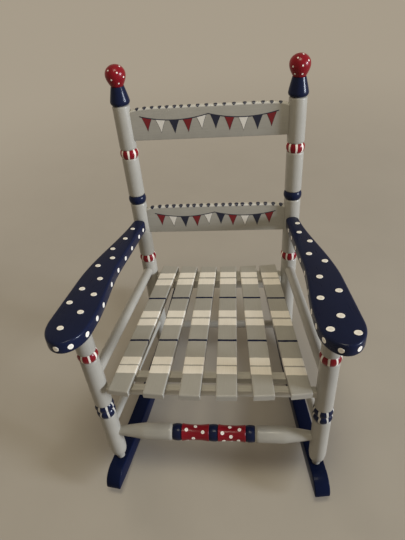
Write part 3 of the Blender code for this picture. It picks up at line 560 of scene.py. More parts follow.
def foot_reach(axis, side):
    """The distance down a post's axis from the seat's top to its rocker's top."""
    top = SEAT_FRAME @ axis(side, 0.0)
    down = (SEAT_FRAME @ axis(side, -1.0) - top).normalized()
    reach = SEAT_HEIGHT
    for _ in range(FOOT_TRIES):
        point = top + down * reach
        reach += (point.z - rocker_top(point.y - REST_BEHIND_MIDDLE)) / -down.z
    return reach


# Meshes


def turned(loop):
    """A loop of points that starts from its second one."""
    return loop[1:] + loop[:1]


def wall(solid, low, high):
    """The faces between two loops of points."""
    return [solid.faces.new(corners) for corners in zip(low, turned(low), turned(high), high)]


def band(solid, low, high):
    """The same faces, turned the other way round."""
    return [solid.faces.new(corners) for corners in zip(low, high, turned(high), turned(low))]


def coat(face, paint):
    face.material_index = PAINT_ORDER.index(paint)


def close_ends(solid, loops):
    solid.faces.new(loops[0])
    solid.faces.new(reversed(loops[-1]))
    bmesh.ops.recalc_face_normals(solid, faces=solid.faces)
    return solid


def striped_paint(paint, column, turn):
    """The paint of one column of a turned band, which may have stripes."""
    ground, stripe, count = STRIPED_BANDS.get(paint, (paint, paint, 0))
    for number in range(count):
        first = round((turn / 360 + number / count) * COLUMNS - STRIPE_COLUMNS / 2)
        if (column - first) % COLUMNS < STRIPE_COLUMNS:
            return stripe
    return ground


def stripe_shift(paint, angle, height, turn, share):
    """How far a hand-painted stripe strays sideways on its band."""
    count = STRIPED_BANDS[paint][2]
    place = around(2, angle, height * WOBBLE_SCALE)
    pinch = STRIPE_PINCH * sin(count * (angle - radians(turn))) * sin(pi * share)
    return STRIPE_WOBBLE * noise.noise(place) - pinch


def lathe(rings):
    """A turned solid about Z. Each ring is (radius, height, paint, stripe turn, share of its bead)."""
    solid = bmesh.new()
    loops = []
    for radius, height, paint, turn, share in rings:
        loop = []
        for column in range(COLUMNS):
            angle = 2 * pi * column / COLUMNS
            if share > 0:
                angle += stripe_shift(paint, angle, height, turn, share)
            loop.append(solid.verts.new(around(radius, angle, height)))
        loops.append(loop)
    for low, high, (_, _, paint, turn, _) in zip(loops, loops[1:], rings):
        for column, face in enumerate(wall(solid, low, high)):
            coat(face, striped_paint(paint, column, turn))
    for loop, ring in ((loops[0][::-1], rings[0]), (loops[-1], rings[-1])):
        coat(solid.faces.new(loop), ring[2])
    return solid


def plain(points, paint):
    """Rings of one paint, from (radius, height) points."""
    return [(radius, height, paint, 0, 0.0) for radius, height in points]


def board(outline, thickness, edge, paint):
    """A flat board on an (x, y) outline, with rounded edges."""
    solid = bmesh.new()
    low = [solid.verts.new((x, y, 0.0)) for x, y in outline]
    high = [solid.verts.new((x, y, thickness)) for x, y in outline]
    solid.faces.new(low)
    solid.faces.new(high)
    wall(solid, low, high)
    rims = [solid.edges.get(ends) for loop in (low, high) for ends in zip(loop, turned(loop))]
    bmesh.ops.recalc_face_normals(solid, faces=solid.faces)
    bmesh.ops.bevel(solid, geom=rims, offset=edge, segments=EDGE_STEPS, profile=0.5, affect="EDGES")
    for face in solid.faces:
        coat(face, paint)
    return solid


def rounded_section(half, bottom, top, low_edge, high_edge, columns=1):
    """A board's cross-section with rounded edges, from the lower left over the top."""
    low = bottom + low_edge
    high = top - high_edge
    corners = ((-1, low, low_edge), (-1, high, high_edge), (1, high, high_edge), (1, low, low_edge))
    points = []
    for number, (side, z, edge) in enumerate(corners):
        x = side * (half - edge)
        for share in shares(EDGE_STEPS):
            turn = pi / 2 * (3 - number - share)
            points.append((x + edge * cos(turn), z + edge * sin(turn)))
        if number == 1:
            points += [(between(x, half - edge, share), top) for share in shares(columns)[1:-1]]
    return points


def add_object(name, data, **settings):
    made = bpy.data.objects.new(name, data)
    for setting, value in settings.items():
        setattr(made, setting, value)
    bpy.context.scene.collection.objects.link(made)
    return made


def add_piece(name, solid, materials, placement):
    """A named piece of the chair, which rides on its one body."""
    mesh = bpy.data.meshes.new(name)
    solid.to_mesh(mesh)
    solid.free()
    for material in materials:
        mesh.materials.append(material)
    mesh.shade_smooth()
    mesh.set_sharp_from_angle(angle=SHARP)
    piece = add_object(name, mesh)
    piece.matrix_world = placement
    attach(piece, "root")
    return piece


def add_painted(node, solid, paints, placement):
    """A painted piece that stands for a CAD node."""
    piece = add_piece(f"painted_{node}", solid, paints, placement)
    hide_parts(node)
    return piece


# Dabs of paint


def dab_height(share):
    """A dab's rise at a share of its radius: a hollow middle, a thick rim and a sunk end."""
    if share >= 1.0:
        return -PAINT_SINK
    return between(DAB_HOLLOW, DAB_RIM, sin(pi / 2 * min(1.0, share / DAB_RIM_SHARE)) ** 2)


def add_dab(solid, layer, surface, middle, outwards, radius, across=None, width=1.0, taper=0.0):
    """A dot of paint on a surface. It may have another width across, and taper to its front."""
    outwards = outwards.normalized()
    first = (across or outwards.orthogonal()).normalized()
    first = (first - outwards * first.dot(outwards)).normalized()
    second = outwards.cross(first)
    loops = []
    for share in DAB_RINGS:
        loop = []
        for step in range(DAB_SIDES if share else 1):
            angle = 2 * pi * step / DAB_SIDES
            place = middle * DAB_WOBBLE_SCALE + around(1, angle, share)
            reach = radius * share * (1 + DAB_WOBBLE * noise.noise(place))
            wide = reach * width * (1 + taper * sin(angle))
            aside = first * (wide * cos(angle)) + second * (reach * sin(angle))
            spot, normal, _, _ = surface.ray_cast(middle + aside + outwards * DAB_REACH, -outwards)
            if spot is None:
                spot, normal, _, _ = surface.find_nearest(middle + aside)
            vertex = solid.verts.new(spot + normal * dab_height(share))
            vertex[layer] = share
            loop.append(vertex)
        loops.append(loop)
    for ends in zip(loops[1], turned(loops[1])):
        solid.faces.new((*loops[0], *ends))
    for low, high in zip(loops[1:], loops[2:]):
        band(solid, low, high)
    solid.faces.new(reversed(loops[-1]))


def add_dabs(name, piece, places, material):
    """Dots of one paint on a piece. Each place is what add_dab takes after the surface."""
    points = [vertex.co for vertex in piece.data.vertices]
    surface = BVHTree.FromPolygons(points, [face.vertices for face in piece.data.polygons])
    solid = bmesh.new()
    layer = solid.verts.layers.float.new("from_middle")
    for place in places:
        add_dab(solid, layer, surface, *place)
    add_piece(name, solid, [material], piece.matrix_world.copy())


# Turned pieces


def foot_rings(reach):
    """A post's foot: the end in the rocker, a short neck and a round taper."""
    neck_top = FOOT_NECK_HEIGHT - reach
    neck = [(FOOT_NECK_RADIUS, -reach - FOOT_SOCKET_DEPTH), (FOOT_NECK_RADIUS, neck_top)]
    full = (POST_RADIUS, neck_top + FOOT_TAPER_HEIGHT)
    return plain(neck + quarter_arc(full, (FOOT_NECK_RADIUS + FOOT_SHOULDER, neck_top))[::-1], "grey")


def swell(share):
    """The round of a bead, from side to side."""
    return sin(pi * share) ** BEAD_FULLNESS


def shoulder_points(groove, way):
    full = (POST_RADIUS, groove + way * GROOVE_SHOULDER)
    return quarter_arc(full, (POST_RADIUS - GROOVE_DEPTH, groove), ARC_STEPS // 2)[:-1]


def bead_rings(middle, height, paint, turns):
    """Beads side by side on a post, one for each stripe turn, between two grooves."""
    low = middle - height * len(turns) / 2
    high = middle + height * len(turns) / 2
    rings = plain(shoulder_points(low, -1), "grey")
    for bead, turn in enumerate(turns):
        for share in shares():
            radius = POST_RADIUS - GROOVE_DEPTH + (GROOVE_DEPTH + BEAD_BULGE) * swell(share)
            on_bead = paint if share < 1 else "grey"
            striped = share if on_bead in STRIPED_BANDS else 0.0
            rings.append((radius, low + height * (bead + share), on_bead, turn, striped))
    return rings + plain(reversed(shoulder_points(high, 1)), "grey")


def bell_rings():
    """The rounded top of a back post and the bell on it."""
    base = BACK_POST_TOP
    inner = (POST_RADIUS - POST_TOP_ROUND, base)
    top = quarter_arc((POST_RADIUS, base - POST_TOP_ROUND), inner)[:-1]
    bell = quarter_arc((BELL_RADIUS, base + BELL_LIP), inner)[::-1]
    for share in shares()[1:]:
        radius = between(BELL_RADIUS, BELL_NECK_RADIUS, share ** BELL_FLARE)
        bell.append((radius, between(base + BELL_LIP, EGG_BASE, share)))
    return plain(top, "grey") + plain(bell, "navy")


def egg_points():
    """The egg on the bell, from its narrow foot to the pole, as (radius, height)."""
    widest = EGG_BASE + EGG_WIDEST
    top = EGG_BASE + EGG_HEIGHT
    points = []
    for share in shares():
        radius = between(BELL_NECK_RADIUS - EGG_FOOT_INSET, EGG_RADIUS, sin(pi / 2 * share))
        points.append((radius, between(EGG_BASE, widest, share)))
    for step in range(1, ARC_STEPS + 1):
        turn = pi / 2 * step / (ARC_STEPS + EGG_POLE_STEP)
        points.append((EGG_RADIUS * cos(turn), between(widest, top, sin(turn))))
    return points + [(EGG_POLE_RADIUS, top)]


def egg_spot(height):
    """The egg's radius and its surface's outward lean, at a height on its post."""
    points = egg_points()
    for (low, start), (high, end) in zip(points, points[1:]):
        if start <= height <= end:
            radius = between(low, high, (height - start) / (end - start))
            return radius, atan2(low - high, end - start)
    return EGG_POLE_RADIUS, pi / 2


def egg_dot_places(name):
    """Scattered dots on the front of an egg, and the same on its back."""
    places = []
    for height, first in EGG_DOTS[name]:
        radius, lean = egg_spot(EGG_BASE + height)
        for turn in (radians(first), radians(first) + pi):
            middle = around(radius, turn, EGG_BASE + height)
            places.append((middle, around(cos(lean), turn, sin(lean)), EGG_DOT))
    return places


def add_post(end, name, side, axis, beads, top, paints):
    rings = foot_rings(foot_reach(axis, side))
    for middle, height, paint, turns in beads:
        rings += bead_rings(middle, height, paint, turns[name])
    placement = standing(axis(side, 0.0), axis(side, 1.0))
    return add_painted(f"{end}_post_{name}", lathe(rings + top), paints, placement)


def add_posts(name, side, paints, dab):
    under_arm = plain([(POST_RADIUS, ARM_FRONT_UNDERSIDE + POST_INTO_ARM)], "grey")
    add_post("front", name, side, front_axis, FRONT_BEADS, under_arm, paints)
    finial = bell_rings() + plain(egg_points(), "red")
    post = add_post("back", name, side, back_axis, BACK_BEADS, finial, paints)
    add_dabs(f"egg_dots_{name}", post, egg_dot_places(name), dab)


# Rungs


def add_plain_rung(node, first, second, radius, paints, towards=BACKWARDS):
    """A round rung between two points on posts' axes, its ends inside the posts."""
    way = (second - first).normalized() * (POST_RADIUS - RUNG_INTO_POST)
    length = (second - first - 2 * way).length
    solid = lathe(plain(line_points((radius, 0.0), (radius, length)), "grey"))
    add_painted(node, solid, paints, standing(first + way, second - way, towards))


def add_side_rungs(name, side, paints):
    for level, (front, back, radius) in SIDE_RUNGS.items():
        node = f"{level}_side_rung_{name}"
        add_plain_rung(node, front_axis(side, front), back_axis(side, back), radius, paints, UP)


def add_back_rung(paints):
    left, right = back_axis(-1, BACK_RUNG_LEVEL), back_axis(1, BACK_RUNG_LEVEL)
    add_plain_rung("back_rung", left, right, BACK_RUNG_RADIUS, paints)


def spool_points(start):
    """A spool of the front rung, hollow between two rounded lips."""
    end = start + SPOOL_LENGTH
    lip = FRONT_RUNG_RADIUS - SPOOL_LIP / 2
    points = [(lip, start + SPOOL_LIP / 4)]
    for share in shares(2 * ARC_STEPS):
        radius = between(SPOOL_RADIUS, FRONT_RUNG_RADIUS, abs(2 * share - 1) ** SPOOL_FLARE)
        points.append((radius, between(start + SPOOL_LIP, end - SPOOL_LIP, share)))
    return points + [(lip, end - SPOOL_LIP / 4)]


def half_rung_rings(half_length):
    """Half of the front rung, from its middle bead out to its end."""
    full = FRONT_RUNG_RADIUS
    groove = full - COVE_DEPTH
    spool_start = RUNG_MIDDLE_BEAD / 2
    bead_start = spool_start + SPOOL_LENGTH
    cove_start = bead_start + RUNG_OUTER_BEAD
    cove_end = cove_start + COVE
    taper_end = FRONT_SPACING / 2 - POST_RADIUS
    middle = []
    outer = []
    for share in shares():
        middle.append((between(groove, full, sqrt(1 - share * share)), spool_start * share))
        outer.append((between(groove, full, swell(share)), between(bead_start, cove_start, share)))
    rest = line_points((groove, cove_start), (full, cove_end))[1:]
    rest.append((full, cove_end + COVE))
    rest += line_points((full, taper_end - RUNG_TAPER), (RUNG_END_RADIUS, taper_end))
    rest.append((RUNG_END_RADIUS, half_length))
    spool = plain(spool_points(spool_start), "red")
    return plain(middle, "navy") + spool + plain(outer, "navy") + plain(rest, "grey")


def mirrored_rings(half):
    """A whole turned piece from the half above its middle. A ring's paint is that of the band above it."""
    below = []
    for (radius, height, _, turn, share), (_, _, paint, _, _) in zip(half[1:], half):
        below.append((radius, -height, paint, turn, share))
    return below[::-1] + half


def add_front_rung(paints, dab):
    left, right = front_axis(-1, FRONT_RUNG_LEVEL), front_axis(1, FRONT_RUNG_LEVEL)
    half_length = (right - left).length / 2 - POST_RADIUS + RUNG_INTO_POST
    rings = mirrored_rings(half_rung_rings(half_length))
    rung = add_painted("front_rung", lathe(rings), paints, standing((left + right) / 2, right))
    places = []
    for along, turns in RUNG_DOTS:
        for turn in turns:
            outwards = around(1, radians(turn), 0.0)
            places.append((outwards * SPOOL_RADIUS + UP * along, outwards, RUNG_DOT))
    add_dabs("rung_dots", rung, places, dab)


# Rockers


def nose_outline(tip, way):
    """The round end of a rocker, from tip to top."""
    inner = tip + way * ROCKER_NOSE
    return quarter_arc((tip, rocker_curve(ROCKER_RADIUS, tip)), (inner, rocker_top(inner)))[1:]


def rocker_outline():
    """A rocker from the side, as (distance behind the flat it rests on, height)."""
    start = -ROCKER_LENGTH / 2 - REST_BEHIND_MIDDLE
    end = ROCKER_LENGTH / 2 - REST_BEHIND_MIDDLE
    nose = ROCKER_NOSE + ROCKER_EDGE
    under = [between(start, end, share) for share in shares(6 * ARC_STEPS)]
    points = [(y, max(0.0, rocker_curve(ROCKER_RADIUS, y))) for y in under]
    points += nose_outline(end, -1)
    points += [(y, rocker_top(y)) for y in reversed(under) if start + nose < y < end - nose]
    return points + nose_outline(start, 1)[::-1]


def add_rocker(name, side, paints):
    feet = []
    for axis, outset in ((front_axis, 0.0), (back_axis, ROCKER_BACK_OUTSET)):
        foot = SEAT_FRAME @ axis(side, -foot_reach(axis, side))
        feet.append(Vector((foot.x + side * outset, foot.y, 0.0)))
    way = (feet[1] - feet[0]).normalized()
    outline = []
    for y, z in rocker_outline():
        outline.append(((y + REST_BEHIND_MIDDLE - feet[0].y) / way.y, z))
    solid = board(outline, ROCKER_THICKNESS, ROCKER_EDGE, "navy")
    solid.transform(placed(BACKWARDS, UP, RIGHT, RIGHT * (-ROCKER_THICKNESS / 2)))
    placement = placed(way.cross(UP), way, UP, feet[0])
    add_painted(f"rocker_{name}", solid, paints, placement)


# Arms


def arm_outline(side, end):
    """A paddle: a broad front with a round nose, and a narrow end at the back post."""
    straight = end - ARM_END_ROUND
    inner = []
    outer = []
    for share in shares(4 * ARC_STEPS)[1:-1]:
        y = between(-ARM_NOSE_START, straight, share)
        inner.append((-eased(ARM_INNER_FRONT, ARM_INNER_BACK, y / end / ARM_INNER_NARROWED), y))
        narrowing = (y / end - ARM_OUTER_NARROWS) / (1 - ARM_OUTER_NARROWS)
        outer.append((eased(ARM_OUTER_FRONT, ARM_OUTER_BACK, narrowing), y))
    inner += quarter_arc((-ARM_INNER_BACK, straight), (ARM_END_ROUND - ARM_INNER_BACK, end))
    outer += quarter_arc((ARM_OUTER_BACK, straight), (ARM_OUTER_BACK - ARM_END_ROUND, end))
    middle = (ARM_OUTER_FRONT - ARM_INNER_FRONT) / 2
    half = (ARM_OUTER_FRONT + ARM_INNER_FRONT) / 2
    turns = [pi * share for share in shares(4 * ARC_STEPS)]
    nose = [(middle - half * cos(turn), -ARM_NOSE_START - ARM_NOSE_LENGTH * sin(turn)) for turn in turns]
    return [(side * x, y) for x, y in inner[::-1] + nose + outer]


def rim_places(outline, distances):
    """Points and outward directions on an arm's rim, at distances along its outline."""
    places = []
    walked = 0.0
    for start, end in zip(outline, outline[1:]):
        length = dist(start, end)
        for distance in distances:
            share = (distance - walked) / length
            if 0 < share <= 1:
                middle = Vector((*point_between(start, end, share, share), ARM_THICKNESS / 2))
                outwards = Vector((end[1] - start[1], start[0] - end[0], 0.0)).normalized()
                places.append((middle, outwards))
        walked += length
    return places


def arm_dot_radius(sizes, y, end):
    """The radius of a dot on an arm, which shrinks from the front to the back."""
    return between(*sizes, min(1.0, max(0.0, y / end)))


def arm_dot_places(name, side, outline, end):
    """Two loose rows of dots on an arm's top, and one round its rim."""
    places = []
    for along, outwards in ARM_TOP_DOTS[name]:
        middle = Vector((side * outwards, along, ARM_THICKNESS))
        radius = arm_dot_radius(ARM_TOP_DOT[name], along, end)
        places.append((middle, UP, radius, BACKWARDS, ARM_TOP_DOT_FLATNESS))
    distances = list(ARM_RIM_DOTS[name])
    whole = sum(dist(*ends) for ends in zip(outline, outline[1:]))
    while distances[-1] + ARM_RIM_PITCH < whole - ARM_END_ROUND:
        distances.append(distances[-1] + ARM_RIM_PITCH)
    for middle, outwards in rim_places(outline, distances):
        places.append((middle, outwards * -side, arm_dot_radius(ARM_RIM_DOT, middle.y, end)))
    return places


def add_arm(name, side, paints, dab):
    """An arm, whose own frame starts on its underside over the front post, +Y to the back post."""
    front = front_axis(side, ARM_FRONT_UNDERSIDE)
    whole = back_axis(side, ARM_BACK_UNDERSIDE) - front
    along = whole.normalized()
    across = along.cross(UP).normalized()
    placement = SEAT_FRAME @ placed(across, along, across.cross(along), front)
    end = whole.length - POST_RADIUS
    outline = arm_outline(side, end)
    solid = board(outline, ARM_THICKNESS, ARM_EDGE, "navy")
    arm = add_painted(f"arm_{name}", solid, paints, placement)
    add_dabs(f"arm_dots_{name}", arm, arm_dot_places(name, side, outline, end), dab)


# Seat slats


def slat_width():
    clear = BACK_SPACING - 2 * (POST_RADIUS + SLAT_POST_GAP)
    return (clear - (SLAT_COUNT - 1) * SLAT_GAP) / SLAT_COUNT


def slat_share(index):
    """How far out a slat lies, from -1 at the left to 1 at the right."""
    return 2 * index / (SLAT_COUNT - 1) - 1


def slat_nose(index):
    """How far behind the front posts a slat's nose lies, which is below 0."""
    return SLAT_BOW * slat_share(index) ** 2 - SLAT_OVERHANG


def slat_middle(index, y):
    """The point of a slat's middle line at a distance behind the front posts."""
    outer = between(FRONT_SPACING, BACK_SPACING, y / POST_DEPTH)
    reach = outer / 2 - POST_RADIUS - SLAT_POST_GAP - slat_width() / 2
    return Vector((slat_share(index) * reach, y, 0.0))


def slat_section(y):
    """A slat's cross-section at a distance from its nose, which is rolled over."""
    lean = max(0.0, 1 - y / SLAT_NOSE_ROUND)
    top = -SLAT_NOSE_ROUND * (1 - sqrt(1 - lean * lean))
    edge = min(SLAT_EDGE, (top + SLAT_THICKNESS) / SLAT_EDGES_PER_HEIGHT)
    return rounded_section(slat_width() / 2, -SLAT_THICKNESS, top, edge, edge, SLAT_COLUMNS)


def slat_stations(index):
    """A slat's cuts across it, from nose to back, with the paint behind each cut and its droop."""
    start = slat_nose(index)
    stations = [(y, "grey", 0.0) for y, _ in quarter_arc((0.0, 0.0), (SLAT_NOSE_ROUND, 0.0))]
    for back, front in CREAM_STRIPES:
        stations += [(front - start, "cream", 0.0), (back - start, "grey", 0.0)]
    for middle in NAVY_LINES:
        for way, paint in ((-1, "navy"), (1, "grey")):
            stations.append((middle + way * NAVY_LINE_WIDTH / 2 - start, paint, LINE_DROOP))
    ends = (SLAT_LENGTH - SLAT_EDGE, SLAT_LENGTH)
    return sorted(stations + [(y, "grey", 0.0) for y in ends])


def stripe_stray(x, z, slant, wobble, droop):
    """How far a stripe's edge strays from square. It runs straight across the seat, so it slants."""
    place = Vector((x * WOBBLE_SCALE, wobble, z * WOBBLE_SCALE))
    stray = x * slant + STRIPE_EDGE_WOBBLE * noise.noise(place)
    return stray - droop * min(1.0, -z / SLAT_THICKNESS) ** 2


def slat_solid(index, slant):
    solid = bmesh.new()
    stations = slat_stations(index)
    loops = []
    for number, (y, _, droop) in enumerate(stations):
        wobble = number * EDGE_WOBBLE_STEP + index * SLAT_WOBBLE_STEP
        is_stripe = SLAT_NOSE_ROUND < y < SLAT_LENGTH - 2 * SLAT_EDGE
        loop = []
        for x, z in slat_section(y):
            stray = stripe_stray(x, z, slant, wobble, droop) if is_stripe else 0.0
            loop.append(solid.verts.new((x, y + stray, z)))
        loops.append(loop)
    for low, high, (_, paint, _) in zip(loops, loops[1:], stations):
        for face in band(solid, low, high):
            below = face.calc_center_median().z < -SLAT_THICKNESS + SLAT_EDGE
            coat(face, "grey" if below else paint)
    return close_ends(solid, loops)


def add_slats(paints):
    """Slats, whose own frames start at the middle of their noses, +Y to the back."""
    for index in range(SLAT_COUNT):
        along = (slat_middle(index, POST_DEPTH) - slat_middle(index, 0.0)).normalized()
        nose = slat_middle(index, slat_nose(index))
        placement = SEAT_FRAME @ placed(along.cross(UP), along, UP, nose)
        add_painted(f"seat_slat_{index + 1}", slat_solid(index, along.x / along.y), paints, placement)


# Back slats


def back_slat_shoulder(bottom):
    """Half the length of a back slat between the posts."""
    middle = bottom + BACK_SLAT_HEIGHT / 2
    return BACK_SPACING / 2 + middle * tan(BACK_POST_SPLAY) - POST_RADIUS


def back_slat_top(bottom, x):
    """The height of a back slat's upper edge, which curves down to both shoulders."""
    inwards = min(1.0, max(0.0, (back_slat_shoulder(bottom) - abs(x)) / SHOULDER_RUN))
    low_top = bottom + BACK_SLAT_HEIGHT - SHOULDER_DROP
    return low_top + SHOULDER_DROP * sqrt(1 - (1 - inwards) ** 2)


def back_slat_stations(bottom):
    shoulder = back_slat_shoulder(bottom)
    inner = shoulder - SHOULDER_RUN
    right = [shoulder + BACK_SLAT_TENON]
    right += [x for x, _ in quarter_arc((shoulder, 0.0), (inner, 0.0), 2 * ARC_STEPS)]
    middle = [between(-inner, inner, share) for share in shares(4 * ARC_STEPS)[1:-1]]
    return [-x for x in right] + middle + right[::-1]


def back_slat_solid(bottom):
    """A board between the back posts, grey, with a paler upper edge."""
    solid = bmesh.new()
    loops = []
    for x in back_slat_stations(bottom):
        top = back_slat_top(bottom, x)
        section = rounded_section(BACK_SLAT_THICKNESS / 2, bottom, top, BACK_SLAT_EDGE, BACK_SLAT_TOP_ROUND)
        loops.append([solid.verts.new((x, y, z)) for y, z in section])
    upper_edge = range(EDGE_STEPS + 1, 3 * EDGE_STEPS + 2)
    for left, right in zip(loops, loops[1:]):
        for number, face in enumerate(band(solid, left, right)):
            coat(face, "pale" if number in upper_edge else "grey")
    return close_ends(solid, loops)


def add_edge_dots(node, slat, bottom, edge_dots, dab):
    """Drop-shaped dots along a back slat's upper edge, bent over its front."""
    radius, left_margin, right_margin, steps = edge_dots
    left = left_margin - back_slat_shoulder(bottom)
    right = back_slat_shoulder(bottom) - right_margin
    places = []
    for dot in range(len(steps) + 1):
        x = between(left, right, sum(steps[:dot]) / sum(steps))
        middle = Vector((x, -EDGE_DOT_FORWARD, back_slat_top(bottom, x)))
        places.append((middle, UP - BACKWARDS, radius, RIGHT, EDGE_DOT_WIDTH, EDGE_DOT_TAPER))
    add_dabs(f"{node}_edge_dots", slat, places, dab)


def add_back_slat(node, bottom, edge_dots, paints, dabs):
    slat = add_painted(node, back_slat_solid(bottom), paints, BACK_FRAME)
    add_edge_dots(node, slat, bottom, edge_dots, dabs["navy"])
    add_bunting(node, bottom, dabs)


# Bunting on the back slats


def swag_height(bottom, reach, x):
    """The height of the bunting's line, which hangs in even swags."""
    x = min(max(x, -reach), reach - JUST_INSIDE)
    share = (x + reach) / (2 * reach) * BUNTING_SWAGS % 1.0
    return bottom + BUNTING_TOP - BUNTING_SAG * 4 * share * (1 - share)


def flat_paint(solid, corners, rise):
    """Thin paint on a back slat's front face, from (x, z) corners."""
    face_y = -BACK_SLAT_THICKNESS / 2
    under = [solid.verts.new((x, face_y + PAINT_SINK, z)) for x, z in corners]
    over = [solid.verts.new((x, face_y - rise, z)) for x, z in corners]
    solid.faces.new(over)
    solid.faces.new(reversed(under))
    wall(solid, under, over)


def pennant_corners(bottom, reach, middle, grow):
    """A pennant, with a curved upper edge and sides that bow in to its tip."""
    half = PENNANT_WIDTH / 2 + grow
    steps = ARC_STEPS // 2
    corners = []
    for share in shares(steps):
        x = between(middle - half, middle + half, share)
        corners.append((x, swag_height(bottom, reach, x) + grow))
    drop = PENNANT_HEIGHT + PENNANT_TIP_OUTLINE * grow
    tip = (middle, swag_height(bottom, reach, middle) - drop)
    for start, end in ((corners[-1], tip), (tip, corners[0])):
        for share in shares(steps)[1:]:
            bow = sin(pi * share) * PENNANT_OUTLINE / 2
            x, z = point_between(start, end, share, share)
            corners.append((x + (bow if x < middle else -bow), z))
    return corners[:-1]


def line_corners(bottom, reach):
    upper = []
    lower = []
    for share in shares(12 * ARC_STEPS):
        x = between(-reach, reach, share)
        height = swag_height(bottom, reach, x)
        upper.append((x, height + BUNTING_LINE))
        lower.append((x, height - BUNTING_LINE / 4))
    return upper + lower[::-1]


def add_bunting(node, bottom, dabs):
    """Pennants in three colours, with dark outlines, on a line across a back slat."""
    reach = back_slat_shoulder(bottom) - BUNTING_MARGIN
    layers = {paint: bmesh.new() for paint in PENNANT_PAINTS}
    count = BUNTING_SWAGS * PENNANTS_PER_SWAG
    for number in range(count):
        middle = reach * ((2 * number + 1) / count - 1)
        paint = PENNANT_PAINTS[number % len(PENNANT_PAINTS)]
        flat_paint(layers["navy"], pennant_corners(bottom, reach, middle, PENNANT_OUTLINE), OUTLINE_RISE)
        if paint != "navy":
            flat_paint(layers[paint], pennant_corners(bottom, reach, middle, 0.0), PAINT_RISE)
    flat_paint(layers["navy"], line_corners(bottom, reach), LINE_RISE)
    for paint, solid in layers.items():
        bmesh.ops.recalc_face_normals(solid, faces=solid.faces)
        add_piece(f"{node}_bunting_{paint}", solid, [dabs[paint]], BACK_FRAME)


# Carried-over CAD pieces


def finish_nodes(paints, wood, steel):
    """Materials for the CAD nodes that stay: rails, dowels and screws."""
    for name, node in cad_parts.items():
        if "screw" in name:
            material = steel
        elif "dowel" in name:
            material = wood
        else:
            material = paints[PAINT_ORDER.index("grey")]
        node.data.materials.clear()
        node.data.materials.append(material)


# Studio


def seen_directly(tree):
    """1 for what the camera sees, also in a gloss or through glass, and 0 for other light."""
    path = add_node(tree, "LightPath")
    seen = path.outputs["Is Camera Ray"]
    for other in ("Is Glossy Ray", "Is Transmission Ray"):
        values = {0: seen, 1: path.outputs[other]}
        seen = add_node(tree, "Math", values, operation="MAXIMUM").outputs["Value"]
    return seen


def show_mix(tree, output, share, first, second):
    """Sends a mix of two shaders to a tree's output node."""
    mix = add_node(tree, "MixShader", {"Fac": share, 1: first, 2: second})
    feed(tree.nodes[output], {"Surface": mix.outputs["Shader"]})


def floor_material():
    """A pale floor that fades into the backdrop away from the chair."""
    material, tree, shader = new_material("pale_floor")
    paper = tones(own_noise(tree, scale=5, detail=4), FLOOR, (0.3, 0.97), (0.7, 1.03))
    feed(shader, {"Base Color": paper, "Roughness": 0.9, "Specular IOR Level": 0.1})
    place = add_node(tree, "TexCoord").outputs["Object"]
    distance = add_node(tree, "VectorMath", {0: place}, operation="LENGTH").outputs["Value"]
    near, far = FLOOR_FADE
    values = {"Value": distance, "From Min": near, "From Max": far, "To Min": FLOOR_GLOW}
    fade = add_node(tree, "MapRange", values, interpolation_type="SMOOTHSTEP").outputs["Result"]
    share = add_node(tree, "Math", {0: fade, 1: seen_directly(tree)}, operation="MULTIPLY")
    glow = add_node(tree, "Emission", {"Color": BACKDROP}).outputs["Emission"]
    show_mix(tree, "Material Output", share.outputs["Value"], shader.outputs["BSDF"], glow)
    return material


def add_floor():
    far = FLOOR_REACH
    mesh = bpy.data.meshes.new("floor")
    corners = [(-far, -far, 0.0), (far, -far, 0.0), (far, far, 0.0), (-far, far, 0.0)]
    mesh.from_pydata(corners, [], [(0, 1, 2, 3)])
    mesh.materials.append(floor_material())
    add_object("floor", mesh)


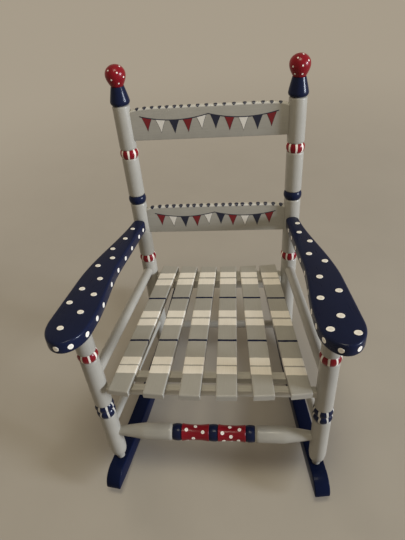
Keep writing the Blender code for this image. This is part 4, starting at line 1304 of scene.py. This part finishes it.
def add_lamp(name, place, size, power, colour, in_gloss):
    """A soft lamp that faces the chair. Glossy paint mirrors it or leaves it out."""
    light = bpy.data.lights.new(name, "AREA")
    light.shape = "DISK"
    light.size = size
    light.energy = power
    light.color = colour
    turn = (LAMP_AIM - Vector(place)).to_track_quat("-Z", "Y").to_euler()
    lamp = add_object(name, light, location=place, rotation_euler=turn)
    lamp.visible_camera = False
    lamp.visible_glossy = in_gloss


def add_sky():
    """Even soft light from all round. The camera sees a pale backdrop in its place."""
    world = bpy.data.worlds.new("studio")
    bpy.context.scene.world = world
    world.use_nodes = True
    tree = world.node_tree
    light = feed(tree.nodes["Background"], {"Color": SKY, "Strength": SKY_STRENGTH})
    backdrop = add_node(tree, "Background", {"Color": BACKDROP})
    both = [node.outputs["Background"] for node in (light, backdrop)]
    show_mix(tree, "World Output", seen_directly(tree), *both)


def add_camera():
    lens = bpy.data.cameras.new("camera")
    lens.lens = CAMERA_LENS
    camera = add_object("camera", lens, location=CAMERA_PLACE, rotation_euler=CAMERA_TURN)
    bpy.context.scene.camera = camera


def add_studio():
    add_floor()
    add_sky()
    for name, looks in LAMPS.items():
        add_lamp(name, *looks)
    bpy.context.scene.view_settings.view_transform = "Standard"


# The chair


def dress_chair():
    upright = paint_set("Z")
    lengthwise = paint_set("Y")
    crosswise = paint_set("X")
    dab_colours = {"cream": BRIGHT_CREAM, "navy": NAVY, "red": RED}
    dabs = {paint: dabbed(f"{paint}_dab", colour) for paint, colour in dab_colours.items()}
    rocker_paints = rocker_set(lengthwise)
    finish_nodes(crosswise, beech(), zinc())
    for name, side in SIDES:
        add_posts(name, side, upright, dabs["cream"])
        add_rocker(name, side, rocker_paints)
        add_arm(name, side, lengthwise, dabs["cream"])
        add_side_rungs(name, side, upright)
    add_back_rung(upright)
    add_front_rung(upright, dabs["cream"])
    add_slats(lengthwise)
    add_back_slat("crest_slat", CREST_SLAT_BOTTOM, CREST_EDGE_DOTS, crosswise, dabs)
    add_back_slat("lower_back_slat", LOWER_SLAT_BOTTOM, LOWER_EDGE_DOTS, crosswise, dabs)


add_camera()
dress_chair()
add_studio()
